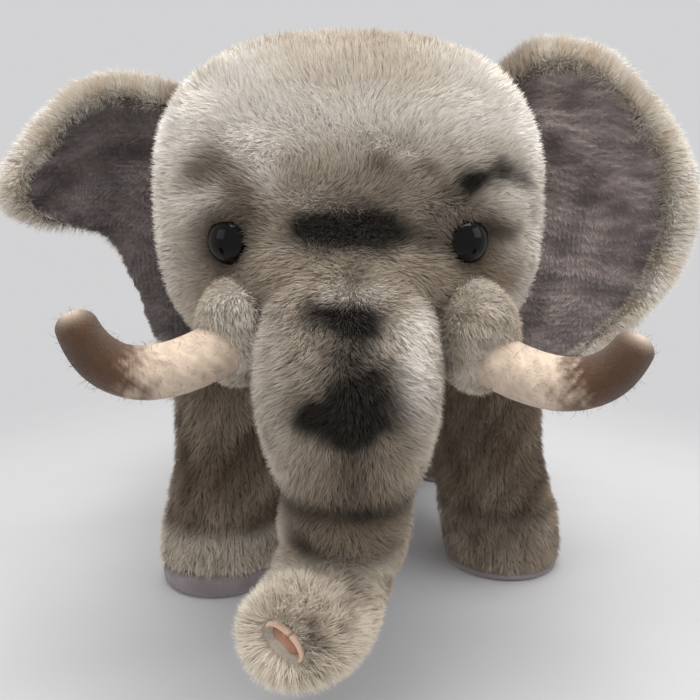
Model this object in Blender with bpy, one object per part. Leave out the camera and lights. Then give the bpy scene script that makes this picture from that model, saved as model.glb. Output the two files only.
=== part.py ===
"""A standing stuffed elephant: sewn plush skins over fibre fill, felt tusks and safety eyes.

It faces -Y, its own left side is +X, and the soles stand on Z = 0. Every skin is a shell with its
fibre fill as a separate body inside it. Ears, the lower trunk and the tail hang from pivot empties.
"""

import math

import bmesh
import bpy
import numpy as np
from mathutils import Matrix, Vector

MM = 0.001

# Cloth, gaps and stitching.
SKIN = 3.0 * MM  # plush backing with its pressed pile
FELT = 1.5 * MM
GAP = 0.3 * MM  # between neighbours that touch
FILL_GAP = 0.5 * MM  # between a skin and the fibre inside it
PIVOT_GAP = 1.1 * MM  # from a link's rounded end to its pivot

# Torso.
BELLY_HEIGHT = 60 * MM
BODY_LENGTH = 160 * MM
BODY_WIDTH = 122 * MM
BODY_HEIGHT = 108 * MM
BODY_POWER = 2.4  # how boxy the barrel is: 2 is an ellipsoid
NECK_HOLE = 44 * MM

# Head, with its middle at X = Y = 0.
HEAD_WIDTH = 108 * MM
HEAD_HEIGHT = 91 * MM
HEAD_LENGTH = 84 * MM
HEAD_POWER = 2.8
HEAD_RISE = 20.5 * MM  # head's middle above the torso's
NECK_REACH = 30 * MM  # torso's front behind the head's middle
BRIDGE_RISE = 7 * MM  # bridge of the nose, pushed forward
BRIDGE_WIDTH = 44 * MM
BRIDGE_DROP = 18 * MM  # below the head's middle

# Legs: foot centres, as (x from the torso's side, y from the torso's nearer end).
FEET = {
    "front_left": (-0.5 * MM, 27 * MM),
    "front_right": (-13 * MM, 14 * MM),  # stands a little ahead
    "hind_left": (-9 * MM, -32 * MM),
    "hind_right": (-7 * MM, -38 * MM),
}
FOOT_DIAMETER = 45 * MM
ANKLE_DIAMETER = 42 * MM
THIGH_DIAMETER = 46 * MM
LEG_TOP = 44 * MM  # how far a leg panel runs up past the belly
LEG_LEAN = 0.15  # share of its distance from the middle by which a thigh leans in
SOLE_THICKNESS = 2.2 * MM
TOE_LIFT = 6.5 * MM  # the right forefoot's sole shows under its raised toe seam

# Eyes: a dome on a stem, locked by a washer inside the skin.
EYE_DIAMETER = 12 * MM
EYE_HEIGHT = 5 * MM
EYE_STEM = 3.6 * MM
EYE_STEM_LENGTH = 8.5 * MM
EYE_SPREAD = 57.5 * MM
EYE_DROP = 8 * MM  # below the head's middle
WASHER_DIAMETER = 12 * MM
WASHER_THICKNESS = 1.4 * MM

# Cheek sleeves and tusks. Points are (from the trunk's flank, from the head's front, from its middle).
SLEEVE_START = Vector((2, 28, -23.5)) * MM
SLEEVE_END = Vector((16, -1.5, -35)) * MM
SLEEVE_WIDTH = 20 * MM
SLEEVE_HEIGHT = 27 * MM
TUSK_ROOT = Vector((-1, 24, -27.5)) * MM
TUSK_BENDS = {  # two guide points and the tip: the two tusks aren't sewn quite alike
    "left": (Vector((17, -2, -44)) * MM, Vector((36, -9, -45)) * MM, Vector((43.5, -13, -29.5)) * MM),
    "right": (Vector((16, -2, -42)) * MM, Vector((33, -9, -43)) * MM, Vector((38.5, -13, -25)) * MM),
}
TUSK_DIAMETER = 12 * MM
TUSK_TIP_DIAMETER = 7.6 * MM

# Trunk: one curve from the face to the tip, cut into three links at the sewn creases. Points are
# (x, from the head's front, from its middle).
TRUNK_ROOT = Vector((0, 15, -19.5)) * MM
TRUNK_BROW = Vector((0, 5, -33.5)) * MM
TRUNK_BULGE = Vector((0, -0.5, -49.5)) * MM
TRUNK_CREASE = Vector((0, 3.5, -68.5)) * MM
TRUNK_BEND = Vector((-2, 4.5, -86.5)) * MM
TRUNK_CURL = Vector((-7, -8, -94.5)) * MM
TRUNK_END = Vector((-12, -23, -93)) * MM
TRUNK_ROOT_DIAMETER = 42 * MM
TRUNK_MIDDLE_DIAMETER = 30 * MM
TRUNK_TIP_DIAMETER = 33 * MM
NOSTRIL_LENGTH = 9.5 * MM
NOSTRIL_WIDTH = 4.6 * MM
NOSTRIL_DEPTH = 3.2 * MM
NOSTRIL_TILT = math.radians(-38)

# Ears: each net of millimetre points runs root to rim along a row, and top to bottom from row to row.
# Points are (from the head's side, from its back, from its middle).
EAR_CLOTH = 2.6 * MM
EAR_LINING = 1.8 * MM
EAR_SEAM_REACH = 18 * MM  # the seam allowance runs this far into the head
EAR_SEAM_THICKNESS = 4.8 * MM
EAR_MARGIN = 0.84  # the lining stops at this share of the way to the rim
EAR_ROWS, EAR_COLUMNS = 13, 9
EAR_NETS = {
    "left": (
        ((-4, -17, 41.5), (4, -21, 46.5), (13, -27, 45.5), (22, -32, 40.5)),
        ((-3.5, -17, 26.5), (10, -21, 32.5), (24, -27, 33.5), (36, -33, 27.5)),
        ((-3, -17, 10.5), (14, -21, 14.5), (31, -27, 14.5), (47, -34, 10.5)),
        ((-3, -17, -5.5), (15, -21, -5.5), (32, -26, -7.5), (49, -34, -9.5)),
        ((-2.5, -17, -21.5), (13, -22, -25.5), (26, -28, -28.5), (38, -34, -29.5)),
        ((-2, -17, -37.5), (2, -22, -44.5), (6, -26, -51.5), (12, -31, -53.5)),
    ),
    "right": (
        ((-6, -17, 33.5), (4, -22, 37.5), (16, -29, 38.5), (26, -35, 34.5)),
        ((-5.5, -17, 22.5), (8, -22, 26.5), (24, -28, 27.5), (38, -36, 23.5)),
        ((-5, -17, 12.5), (11, -22, 15.5), (30, -29, 15.5), (48, -40, 5.5)),
        ((-4.5, -17, 3.5), (11, -22, 4.5), (28, -27, 2.5), (41, -34, -3)),
        ((-4, -17, -5.5), (6, -21, -5.5), (17, -23, -4.5), (26, -24, -4.5)),
        ((-4, -17, -15.5), (5, -20, -16.5), (14, -19, -15.5), (20, -10, -15.5)),
        ((-3.5, -17, -26.5), (4, -19.5, -28.5), (11, -17, -29.5), (15, -6, -30.5)),
        ((-3, -17, -38.5), (2, -20, -42.5), (7, -19, -43.5), (10, -11, -43.5)),
    ),
}

# Tail: two cord-like links and a tuft. Points are (x, from the torso's rear, from its middle).
TAIL_ROOT = Vector((0, -2, 24)) * MM
TAIL_SHOULDER = Vector((0, 8.5, 17)) * MM
TAIL_BEND = Vector((0, 10, -4)) * MM
TAIL_END = Vector((0, 8, -26)) * MM
TUFT_END = Vector((0, 7, -45)) * MM
TAIL_DIAMETER = 9 * MM
TAIL_LOW_DIAMETER = 7.4 * MM
TUFT_DIAMETER = 11 * MM

TORSO_Z = BELLY_HEIGHT + BODY_HEIGHT / 2
TORSO_REAR = NECK_REACH + BODY_LENGTH
HEAD_Z = TORSO_Z + HEAD_RISE
FACE = Vector((0, -HEAD_LENGTH / 2, HEAD_Z))
RUMP = Vector((0, TORSO_REAR, TORSO_Z))


def clear_scene():
    for obj in list(bpy.data.objects):
        bpy.data.objects.remove(obj, do_unlink=True)


def material(name, color, roughness):
    made = bpy.data.materials.new(name)
    made.use_nodes = True
    shader = made.node_tree.nodes["Principled BSDF"]
    shader.inputs["Base Color"].default_value = (*color, 1)
    shader.inputs["Roughness"].default_value = roughness
    shader.inputs["Metallic"].default_value = 0
    made.diffuse_color = (*color, 1)
    return made


def ring_mesh(rings):
    """A closed mesh over a stack of rings: each cell split the same way, and a fan to each end's middle."""
    rings = np.asarray(rings)
    levels, count, _ = rings.shape
    points = np.vstack([rings.reshape(-1, 3), rings[0].mean(axis=0), rings[-1].mean(axis=0)])
    first, last = levels * count, levels * count + 1
    faces = []
    for level in range(levels - 1):
        for k in range(count):
            near, far = level * count + k, level * count + (k + 1) % count
            faces += [(near, far, far + count), (near, far + count, near + count)]
    for k in range(count):
        faces.append((first, (k + 1) % count, k))
        top = (levels - 1) * count
        faces.append((last, top + k, top + (k + 1) % count))
    mesh = bpy.data.meshes.new("surface")
    mesh.from_pydata(points.tolist(), [], faces)
    outward(mesh)
    return mesh


def outward(mesh):
    edit = bmesh.new()
    edit.from_mesh(mesh)
    bmesh.ops.recalc_face_normals(edit, faces=edit.faces)
    edit.to_mesh(mesh)
    edit.free()
    mesh.shade_smooth()


def grown(mesh, distance):
    """A copy with each corner moved along its normal: outwards for a cutter, inwards for a lining."""
    edit = bmesh.new()
    edit.from_mesh(mesh)
    edit.normal_update()
    for vert, normal in [(v, v.normal.copy()) for v in edit.verts]:
        vert.co += normal * distance
    made = bpy.data.meshes.new("surface")
    edit.to_mesh(made)
    edit.free()
    made.shade_smooth()
    return made


def unit_ring(count, power):
    """A superellipse of radius 1: each of cos and sin is raised to 2/power and keeps its sign."""
    angle = np.arange(count) * 2 * np.pi / count
    shape = lambda wave: np.sign(wave) * np.abs(wave) ** (2 / power)
    return shape(np.cos(angle)), shape(np.sin(angle))


def superellipsoid(middle, half, power, around, levels, along_y=False):
    """Rings of a rounded box, stacked along Z, or along Y for the torso's barrel."""
    tilt = -np.pi / 2 + np.pi * (np.arange(levels) + 0.5) / levels
    size = np.abs(np.cos(tilt)) ** (2 / power)
    height = np.sign(np.sin(tilt)) * np.abs(np.sin(tilt)) ** (2 / power)
    across, depth = unit_ring(around, 2.35)
    rings = np.empty((levels, around, 3))
    rings[..., 0] = size[:, None] * across
    rings[..., 1], rings[..., 2] = size[:, None] * depth, height[:, None]
    if along_y:
        rings[..., 1:] = rings[..., :0:-1]
    return rings * half + middle


def spline(points, samples):
    """A Catmull-Rom curve through the points, read at even steps of its parameter."""
    points = np.asarray(points, float)
    padded = np.vstack([2 * points[0] - points[1], points, 2 * points[-1] - points[-2]])
    at = np.linspace(0, len(points) - 1, samples)
    span = np.minimum(at.astype(int), len(points) - 2)
    t = (at - span)[:, None]
    a, b, c, d = (padded[span + k] for k in range(4))
    return 0.5 * (2 * b + (c - a) * t + (2 * a - 5 * b + 4 * c - d) * t**2 + (3 * b - a - 3 * c + d) * t**3)


def tube(path, widths, heights, side, around, rings, caps, power=2.0, inset=0.0):
    """Rings along a path with rounded ends: within a cap's length of an end the radius falls as a
    quarter ellipse. side is the direction that a ring's width lies nearest, and inset draws the
    whole surface inwards."""
    path, side = shortened(path, inset, inset), np.asarray(side, float)
    widths, heights = np.asarray(widths) - 2 * inset, np.asarray(heights) - 2 * inset
    caps = [max(cap - inset, 1 * MM) for cap in caps]
    run = np.concatenate([[0], np.cumsum(np.linalg.norm(np.diff(path, axis=0), axis=1))])
    length = run[-1]
    swing = np.pi * (np.arange(rings) + 0.5) / rings
    start, end = caps
    at = (1 - np.cos(swing)) / 2 * length
    fall = np.ones(rings)
    near, far = at < start, length - at < end
    fall[near] = np.sqrt(1 - (1 - at[near] / start) ** 2)
    fall[far] = np.minimum(fall[far], np.sqrt(1 - (1 - (length - at[far]) / end) ** 2))
    place = np.stack([np.interp(at, run, path[:, k]) for k in range(3)], axis=1)
    slope = np.gradient(path, run, axis=0)
    tangent = np.stack([np.interp(at, run, slope[:, k]) for k in range(3)], axis=1)
    tangent /= np.linalg.norm(tangent, axis=1)[:, None]
    wide = side - (tangent @ side)[:, None] * tangent
    wide /= np.linalg.norm(wide, axis=1)[:, None]
    high = np.cross(tangent, wide)
    share = at / length
    width = np.interp(share, np.linspace(0, 1, len(widths)), widths) * fall / 2
    height = np.interp(share, np.linspace(0, 1, len(heights)), heights) * fall / 2
    c, s = unit_ring(around, power)
    return (
        place[:, None]
        + wide[:, None] * (width[:, None] * c)[..., None]
        + high[:, None] * (height[:, None] * s)[..., None]
    )


def solid(name, mesh, finish, pivot):
    """A part whose origin is its pivot, cut later by cut()."""
    mesh.name = name
    mesh.materials.append(finish)
    made = bpy.data.objects.new(name, mesh)
    bpy.context.collection.objects.link(made)
    place = pivot.matrix_world.translation if pivot.parent else Vector()
    mesh.transform(Matrix.Translation(-place))
    made.parent = pivot
    return made


def cutter(name, mesh):
    """A guide that only cuts: it is left out of the model."""
    mesh.name = name
    made = bpy.data.objects.new(name, mesh)
    bpy.context.collection.objects.link(made)
    made.parent = origin
    made.hide_render = True
    made.display_type = "WIRE"
    return made


def cut(obj, *tools, solver="EXACT"):
    for tool in tools:
        step = obj.modifiers.new(tool.name, "BOOLEAN")
        step.operation = "DIFFERENCE"
        step.solver = solver
        step.object = tool


def stuffed(names, shape, fine, coarse, finish, pivot, tools, wall=SKIN):
    """A skin, hollowed by a cutter, and the fibre in the hollow. shape(inset, around, rings) gives
    the rings of the outer form drawn inwards by inset; the two inner forms are plainer ones."""
    skin = solid(names[0], ring_mesh(shape(0, *fine)), finish, pivot)
    cut(skin, cutter(f"{names[0]}_hollow", ring_mesh(shape(wall, *coarse))), *tools)
    fill = solid(names[1], ring_mesh(shape(wall + FILL_GAP, *coarse)), fibre, pivot)
    cut(fill, *tools)
    return skin, fill


def plush_names(name):
    return f"{name}_skin", f"{name}_fill"


def lathe(profile, around, place, axis):
    """A solid turned round axis from (radius, height) points; a radius of 0 closes on the axis."""
    rings = [[(r * math.cos(a), r * math.sin(a), h) for a in np.arange(around) * 2 * math.pi / around]
             for r, h in profile]
    mesh = ring_mesh(rings)
    turn = axis.to_track_quat("Z", "Y").to_matrix().to_4x4()
    mesh.transform(Matrix.Translation(place) @ turn)
    return mesh


def box_mesh(low, high):
    mesh = bpy.data.meshes.new("box")
    edit = bmesh.new()
    bmesh.ops.create_cube(edit, size=1)
    edit.to_mesh(mesh)
    edit.free()
    size = Vector(high) - Vector(low)
    mesh.transform(Matrix.Translation((Vector(high) + Vector(low)) / 2) @ Matrix.Diagonal((*size, 1)))
    return mesh


def head_rings(inset, around, levels):
    """The head's rounded box, with the bridge of the nose pushed forward between the eyes."""
    half = np.array([HEAD_WIDTH, HEAD_LENGTH, HEAD_HEIGHT]) / 2 - inset
    rings = superellipsoid((0, 0, HEAD_Z), half, HEAD_POWER, around, levels)
    x, y, z = np.moveaxis(rings, -1, 0)
    push = np.exp(-((2 * x / BRIDGE_WIDTH) ** 4) - ((z - HEAD_Z + BRIDGE_DROP) / (BRIDGE_DROP * 0.8)) ** 2)
    rings[..., 1] -= BRIDGE_RISE * push * (y < 0)
    return rings


def head_front(x, z):
    """The head's plain front surface at (x, z), and its outward normal."""
    across, length, height = HEAD_WIDTH / 2, HEAD_LENGTH / 2, HEAD_HEIGHT / 2

    def depth(x, z):
        level = (1 - abs((z - HEAD_Z) / height) ** HEAD_POWER) ** (1 / HEAD_POWER)
        return -length * level * (1 - abs(x / across / level) ** 2.35) ** (1 / 2.35)

    step = 0.1 * MM
    normal = Vector(((depth(x + step, z) - depth(x - step, z)) / (2 * step), -1,
                     (depth(x, z + step) - depth(x, z - step)) / (2 * step)))
    return Vector((x, depth(x, z), z)), normal.normalized()


def make_torso():
    half = np.array([BODY_WIDTH, BODY_LENGTH, BODY_HEIGHT]) / 2
    middle = (0, (NECK_REACH + TORSO_REAR) / 2, TORSO_Z)

    def barrel(inset, around, levels):
        return superellipsoid(middle, half - inset, BODY_POWER, around, levels, True)

    guide = cutter("body_cutter", grown(ring_mesh(barrel(0, 24, 9)), GAP))
    # The neck hole stays behind the head: the fibre of head and body is one mass through it.
    reach = BODY_LENGTH / 4
    hole = tube([(0, NECK_REACH - reach, TORSO_Z), (0, NECK_REACH + reach, TORSO_Z)],
                [NECK_HOLE] * 2, [NECK_HOLE] * 2, (1, 0, 0), 16, 6, (GAP, GAP))
    skin, _ = stuffed(plush_names("body"), barrel, (24, 9), (14, 6), plush, origin, ())
    cut(skin, cutter("neck_hole", ring_mesh(hole)))
    return guide


def make_head(body_cutter):
    guide = cutter("head_cutter", grown(ring_mesh(head_rings(0, 28, 11)), GAP))
    skin, fill = stuffed(plush_names("head"), head_rings, (28, 11), (16, 7), plush, origin, (body_cutter,))
    for side, sign in (("left", 1), ("right", -1)):
        place, normal = head_front(sign * EYE_SPREAD / 2, HEAD_Z - EYE_DROP)
        dome = [(EYE_DIAMETER / 2 * math.cos(a), EYE_HEIGHT * math.sin(a)) for a in np.linspace(1.4, 0, 5)]
        stem = EYE_STEM / 2
        profile = [*dome, (EYE_DIAMETER / 2 - 0.6 * MM, -0.5 * MM), (stem, -0.5 * MM), (stem, -EYE_STEM_LENGTH)]
        seat = place + normal * (0.5 * MM + GAP)
        solid(f"eye_{side}", lathe(profile, 16, seat, normal), glass, origin)
        rim = EYE_DIAMETER / 2 + GAP
        hole = lathe([(rim, 2 * MM), (rim, -0.5 * MM - GAP), (stem + GAP, -0.5 * MM - GAP),
                      (stem + GAP, -EYE_STEM_LENGTH - 2 * MM)], 16, seat, normal)
        cut(skin, cutter(f"eye_hole_{side}", hole))
        back = -SKIN - 3.4 * MM
        pocket = [(WASHER_DIAMETER / 2 + FILL_GAP, back + 3 * MM),
                  (WASHER_DIAMETER / 2 + FILL_GAP, -EYE_STEM_LENGTH - 1 * MM)]
        cut(fill, cutter(f"eye_pocket_{side}", lathe(pocket, 16, seat, normal)))
        disc = [(WASHER_DIAMETER / 2, back), (WASHER_DIAMETER / 2, back - WASHER_THICKNESS)]
        washer = solid(f"eye_washer_{side}", lathe(disc, 16, seat, normal), white_plastic, origin)
        cut(washer, cutter(f"washer_hole_{side}", lathe([(stem + GAP, 0), (stem + GAP, -EYE_STEM_LENGTH)],
                                                        12, seat, normal)))
    return guide


def make_legs(body_cutter, head_cutter):
    for name, (inward, along) in FEET.items():
        x = (BODY_WIDTH / 2 + inward) * (1 if name.endswith("left") else -1)
        y = along + (NECK_REACH if name.startswith("front") else TORSO_REAR)
        lean = 1 - LEG_LEAN
        top = BELLY_HEIGHT + LEG_TOP
        # The blank runs below the floor, so that its walls are upright where the sole closes it.
        path = [(x, y, -14 * MM), (x, y, 12 * MM), (x * lean, y, BELLY_HEIGHT), (x * lean, y, top)]
        widths = [FOOT_DIAMETER, FOOT_DIAMETER, ANKLE_DIAMETER, THIGH_DIAMETER, THIGH_DIAMETER]
        caps = (8 * MM, THIGH_DIAMETER / 2)
        lift = TOE_LIFT if name == "front_right" else 0
        slope = math.atan2(lift, FOOT_DIAMETER)
        seam = SOLE_THICKNESS + lift / 2
        floor = box_mesh((-FOOT_DIAMETER, -FOOT_DIAMETER, -40 * MM), (FOOT_DIAMETER, FOOT_DIAMETER, GAP))
        tilt = Matrix.Translation((x, y, seam)) @ Matrix.Rotation(-slope, 4, "X")
        floor.transform(tilt)
        ground = cutter(f"sole_plane_{name}", floor)

        def column(inset, around, rings):
            return tube(path, widths, widths, (1, 0, 0), around, rings, caps, inset=inset)

        stuffed(plush_names(f"leg_{name}"), column, (16, 8), (10, 5), plush, origin,
                (body_cutter, head_cutter, ground))
        make_sole(name, x, y, tilt)


def make_sole(name, x, y, tilt):
    """A short-pile disc sewn round the foot: flat on the floor, with its upper face along the seam."""
    radius = FOOT_DIAMETER / 2
    disc = tube([(x, y, 0), (x, y, FOOT_DIAMETER / 2)], [2 * radius - 3 * MM, 2 * radius] + [2 * radius] * 6,
                [2 * radius - 3 * MM, 2 * radius] + [2 * radius] * 6, (1, 0, 0), 20, 8, (0.1 * MM, 0.1 * MM))
    disc[0, :, 2], disc[-1, :, 2] = 0, FOOT_DIAMETER / 2
    above = box_mesh((-FOOT_DIAMETER, -FOOT_DIAMETER, 0), (FOOT_DIAMETER, FOOT_DIAMETER, 40 * MM))
    above.transform(tilt)
    sole = solid(f"sole_{name}", ring_mesh(disc), velour, origin)
    cut(sole, cutter(f"sole_top_{name}", above))


def make_trunk(head_cutter):
    keys = [TRUNK_ROOT, TRUNK_BROW, TRUNK_BULGE, TRUNK_CREASE, TRUNK_BEND, TRUNK_CURL, TRUNK_END]
    whole = spline([FACE + key for key in keys], 6 * 16 + 1)
    root, middle, tip = TRUNK_ROOT_DIAMETER, TRUNK_MIDDLE_DIAMETER, TRUNK_TIP_DIAMETER
    crease = pivot_at("trunk_bend_pivot", FACE + TRUNK_CREASE, origin)
    bend = pivot_at("trunk_curl_pivot", FACE + TRUNK_BEND, crease)
    links = {
        "trunk_upper": (whole[: 3 * 16 + 1], [root * 0.94, root, root * 1.02, root * 0.98, root * 0.86],
                        (0.3 * root, 0.36 * root), origin, (head_cutter,)),
        "trunk_middle": (whole[3 * 16 : 4 * 16 + 1], [middle * 1.04, middle, middle],
                         (0.34 * middle, 0.4 * middle), crease, ()),
        "trunk_tip": (whole[4 * 16 :], [tip * 0.82, tip * 0.95, tip, tip * 0.94],
                      (0.4 * tip, 0.24 * tip), bend, ()),
    }
    felt_cutter = make_nostril(whole, bend)
    for name, (path, widths, caps, pivot, tools) in links.items():
        path = shortened(path, PIVOT_GAP if pivot is not origin else 0, PIVOT_GAP if name != "trunk_tip" else 0)

        def link(inset, around, rings):
            return tube(path, widths, widths, (1, 0, 0), around, rings, caps, inset=inset)

        if name == "trunk_upper":
            guide = cutter("trunk_cutter", grown(ring_mesh(link(0, 18, 9)), GAP))
        skin, fill = stuffed(plush_names(name), link, (18, 9), (12, 7), plush, pivot, tools)
        if name == "trunk_tip":
            cut(skin, felt_cutter)
            cut(fill, felt_cutter)
        for end, at in (("top", 0), ("low", -1)):
            if name == "trunk_upper" and end == "top" or name == "trunk_tip" and end == "low":
                continue
            # A small hole at each crease: the fibre runs through, and the skin stays open there.
            step = Vector(path[1] - path[0]) if at == 0 else Vector(path[-1] - path[-2])
            plug = lathe([(2.5 * MM, -5 * MM), (2.5 * MM, 5 * MM)], 10, Vector(path[at]), step.normalized())
            cut(skin, cutter(f"{name}_{end}_hole", plug))
    return guide


def pivot_at(name, place, parent):
    made = bpy.data.objects.new(name, None)
    made.empty_display_size = 10 * MM
    bpy.context.collection.objects.link(made)
    made.parent = parent
    made.location = place - parent.matrix_world.translation
    bpy.context.view_layer.update()
    return made


def shortened(path, start, end):
    """The path with a length cut off each end, in even steps."""
    path = np.asarray(path, float)
    run = np.concatenate([[0], np.cumsum(np.linalg.norm(np.diff(path, axis=0), axis=1))])
    at = np.linspace(start, run[-1] - end, len(path))
    return np.stack([np.interp(at, run, path[:, k]) for k in range(3)], axis=1)


def make_nostril(whole, pivot):
    """A felt-lined slot in the trunk's end: an oval pad in a pocket that is GAP larger all round."""
    face = Vector(whole[-1])
    axis = Vector(whole[-1] - whole[-4]).normalized()
    turn = axis.to_track_quat("Z", "Y").to_matrix().to_4x4()
    place = Matrix.Translation(face - axis * NOSTRIL_DEPTH) @ turn @ Matrix.Rotation(NOSTRIL_TILT, 4, "Z")
    felt_at = Matrix.Translation(Vector((-1.5, 0, -1.5)) * MM) @ place

    def oval(grow, height):
        mesh = lathe([(1, 0), (1, 1)], 16, Vector(), Vector((0, 0, 1)))
        mesh.transform(felt_at @ Matrix.Diagonal((NOSTRIL_LENGTH / 2 + grow, NOSTRIL_WIDTH / 2 + grow, height, 1)))
        return mesh

    solid("nostril_felt", oval(0, 1.2 * MM), felt, pivot)
    pocket = oval(GAP, 12 * MM)
    pocket.transform(Matrix.Translation(-axis * GAP))
    return cutter("nostril_pocket", pocket)


def make_tusks(head_cutter, trunk_cutter):
    for side, sign in (("left", 1), ("right", -1)):
        flip = np.array([sign, 1, 1])
        cheek = FACE + Vector((TRUNK_ROOT_DIAMETER / 2, 0, 0))
        path = bezier([cheek + key for key in (TUSK_ROOT, *TUSK_BENDS[side])], 33) * flip
        widths = np.interp(np.linspace(0, 1, 9), (0, 0.62, 1), (TUSK_DIAMETER, TUSK_DIAMETER * 0.95, TUSK_TIP_DIAMETER))
        caps = (1 * MM, TUSK_TIP_DIAMETER / 2)

        def horn(inset, around, rings):
            return tube(path, widths, widths, (0, 1, 0), around, rings, caps, inset=inset)

        guide = cutter(f"tusk_cutter_{side}", grown(ring_mesh(horn(0, 12, 12)), GAP))
        names = f"tusk_felt_{side}", f"tusk_fill_{side}"
        stuffed(names, horn, (12, 12), (8, 8), felt, origin, (head_cutter,), FELT)
        line = np.linspace(cheek + SLEEVE_START, cheek + SLEEVE_END, 9) * flip
        sleeve = tube(line, [SLEEVE_WIDTH] * 2, [SLEEVE_HEIGHT, SLEEVE_HEIGHT * 0.8], (1, 0, 0), 16, 7,
                      (SLEEVE_WIDTH / 2, SLEEVE_WIDTH * 0.34))
        cuff = solid(f"cheek_sleeve_{side}", ring_mesh(sleeve), plush, origin)
        cut(cuff, head_cutter, trunk_cutter, guide, solver="MANIFOLD")


def bezier(keys, samples):
    t = np.linspace(0, 1, samples)[:, None]
    a, b, c, d = (np.array(key) for key in keys)
    return (1 - t) ** 3 * a + 3 * (1 - t) ** 2 * t * b + 3 * (1 - t) * t**2 * c + t**3 * d


def net_surface(net, rows, columns):
    """A smooth sheet through a net of points: curves along the rows, then curves down the columns."""
    across = np.array([spline(row, columns) for row in net])
    return np.stack([spline(across[:, k], rows) for k in range(columns)], axis=1)


def forward_normals(sheet):
    """The sheet's unit normals, on the side that faces forward."""
    normal = np.cross(np.gradient(sheet, axis=0), np.gradient(sheet, axis=1))
    normal /= np.linalg.norm(normal, axis=2)[..., None]
    return normal * -np.sign(normal[..., 1].mean())


def slab_mesh(front, back):
    """A closed slab between two like grids of points, in triangles that split each cell the same way."""
    rows, columns, _ = front.shape
    at = np.arange(rows * columns).reshape(rows, columns)
    a, b, c, d = (cells.ravel() for cells in (at[:-1, :-1], at[1:, :-1], at[1:, 1:], at[:-1, 1:]))
    faces = np.vstack([np.stack([a, b, c], axis=1), np.stack([a, c, d], axis=1)])
    edge = np.concatenate([at[0, :], at[1:, -1], at[-1, -2::-1], at[-2:0:-1, 0]])
    after, other = np.roll(edge, -1), rows * columns
    sides = [np.stack([edge, after, after + other], axis=1), np.stack([edge, after + other, edge + other], axis=1)]
    mesh = bpy.data.meshes.new("slab")
    points = np.vstack([front.reshape(-1, 3), back.reshape(-1, 3)])
    mesh.from_pydata(points.tolist(), [], np.vstack([faces, faces[:, ::-1] + other, *sides]).tolist())
    outward(mesh)
    return mesh


def make_ears(head_cutter):
    for side, sign in (("left", 1), ("right", -1)):
        net = np.array(EAR_NETS[side]) * MM + (HEAD_WIDTH / 2, HEAD_LENGTH / 2, HEAD_Z)
        net[..., 0] *= sign
        top, low = Vector(net[0, 0]), Vector(net[-1, 0])
        pivot = pivot_at(f"ear_{side}_pivot", (top + low) / 2, origin)
        sheet = net_surface(net, EAR_ROWS, EAR_COLUMNS)
        normal = forward_normals(sheet)
        solid(f"ear_{side}_cloth", slab_mesh(sheet, sheet - normal * EAR_CLOTH), plush, pivot)
        lined = slice(1, -1), slice(0, round(EAR_MARGIN * EAR_COLUMNS))
        lining = sheet[lined] + normal[lined] * GAP
        solid(f"ear_{side}_lining", slab_mesh(lining + normal[lined] * EAR_LINING, lining), velour, pivot)
        # The seam allowance that joins ear to head, hollowed round the ear's folding line.
        inward = Vector((-sign * EAR_SEAM_REACH, 0, 0))
        tab = tube(np.linspace(top, low.lerp(top, 0.1), 9) + np.array(inward / 2), [EAR_SEAM_REACH] * 2,
                   [EAR_SEAM_THICKNESS] * 2, (1, 0, 0), 8, 8, (GAP, GAP), 4.0)
        seam = solid(f"ear_{side}_seam", ring_mesh(tab), plush, origin)
        swept = [2 * (EAR_CLOTH + 1 * MM)] * 2
        ends = top.lerp(low, -0.2), low.lerp(top, -0.2)
        axle = ring_mesh(tube(np.linspace(*ends, 5), swept, swept, (1, 0, 0), 16, 6, (GAP, GAP)))
        cut(seam, head_cutter, cutter(f"ear_{side}_axle", axle))


def make_tail(body_cutter):
    root = pivot_at("tail_root_pivot", RUMP + TAIL_ROOT, origin)
    bend = pivot_at("tail_bend_pivot", RUMP + TAIL_BEND, root)
    keys = [TAIL_ROOT, TAIL_SHOULDER, TAIL_BEND, TAIL_END, TUFT_END]
    line = spline([RUMP + key for key in keys], 4 * 12 + 1)
    pieces = {
        "tail_upper": (line[:25], [TAIL_DIAMETER] * 2, (0.5 * TAIL_DIAMETER, 0.5 * TAIL_DIAMETER), plush, root),
        "tail_lower": (line[24:37], [TAIL_LOW_DIAMETER] * 2,
                       (0.5 * TAIL_LOW_DIAMETER, 0.4 * TAIL_LOW_DIAMETER), plush, bend),
        "tail_tuft": (line[36:], [TUFT_DIAMETER * 0.8, TUFT_DIAMETER, TUFT_DIAMETER * 0.7],
                      (0.4 * TUFT_DIAMETER, 0.6 * TUFT_DIAMETER), long_pile, bend),
    }
    for name, (path, widths, caps, finish, pivot) in pieces.items():
        path = shortened(path, PIVOT_GAP / 2, PIVOT_GAP / 2)
        made = solid(name, ring_mesh(tube(path, widths, widths, (1, 0, 0), 12, 8, caps)), finish, pivot)
        if name == "tail_upper":
            cut(made, body_cutter)


def seat_on_floor():
    """Moves everything so that the box round the toy has its bottom face's centre at the origin."""
    bpy.context.view_layer.update()
    graph = bpy.context.evaluated_depsgraph_get()
    corners = []
    for obj in bpy.context.scene.objects:
        if obj.type != "MESH" or obj.hide_render:
            continue
        mesh = obj.evaluated_get(graph).to_mesh()
        points = np.empty(len(mesh.vertices) * 3)
        mesh.vertices.foreach_get("co", points)
        place = np.array(obj.matrix_world)
        points = points.reshape(-1, 3) @ place[:3, :3].T + place[:3, 3]
        corners += [points.min(axis=0), points.max(axis=0)]
        obj.evaluated_get(graph).to_mesh_clear()
    low, high = np.min(corners, axis=0), np.max(corners, axis=0)
    origin.location = (-(low[0] + high[0]) / 2, -(low[1] + high[1]) / 2, -low[2])
    bpy.context.view_layer.update()


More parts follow.
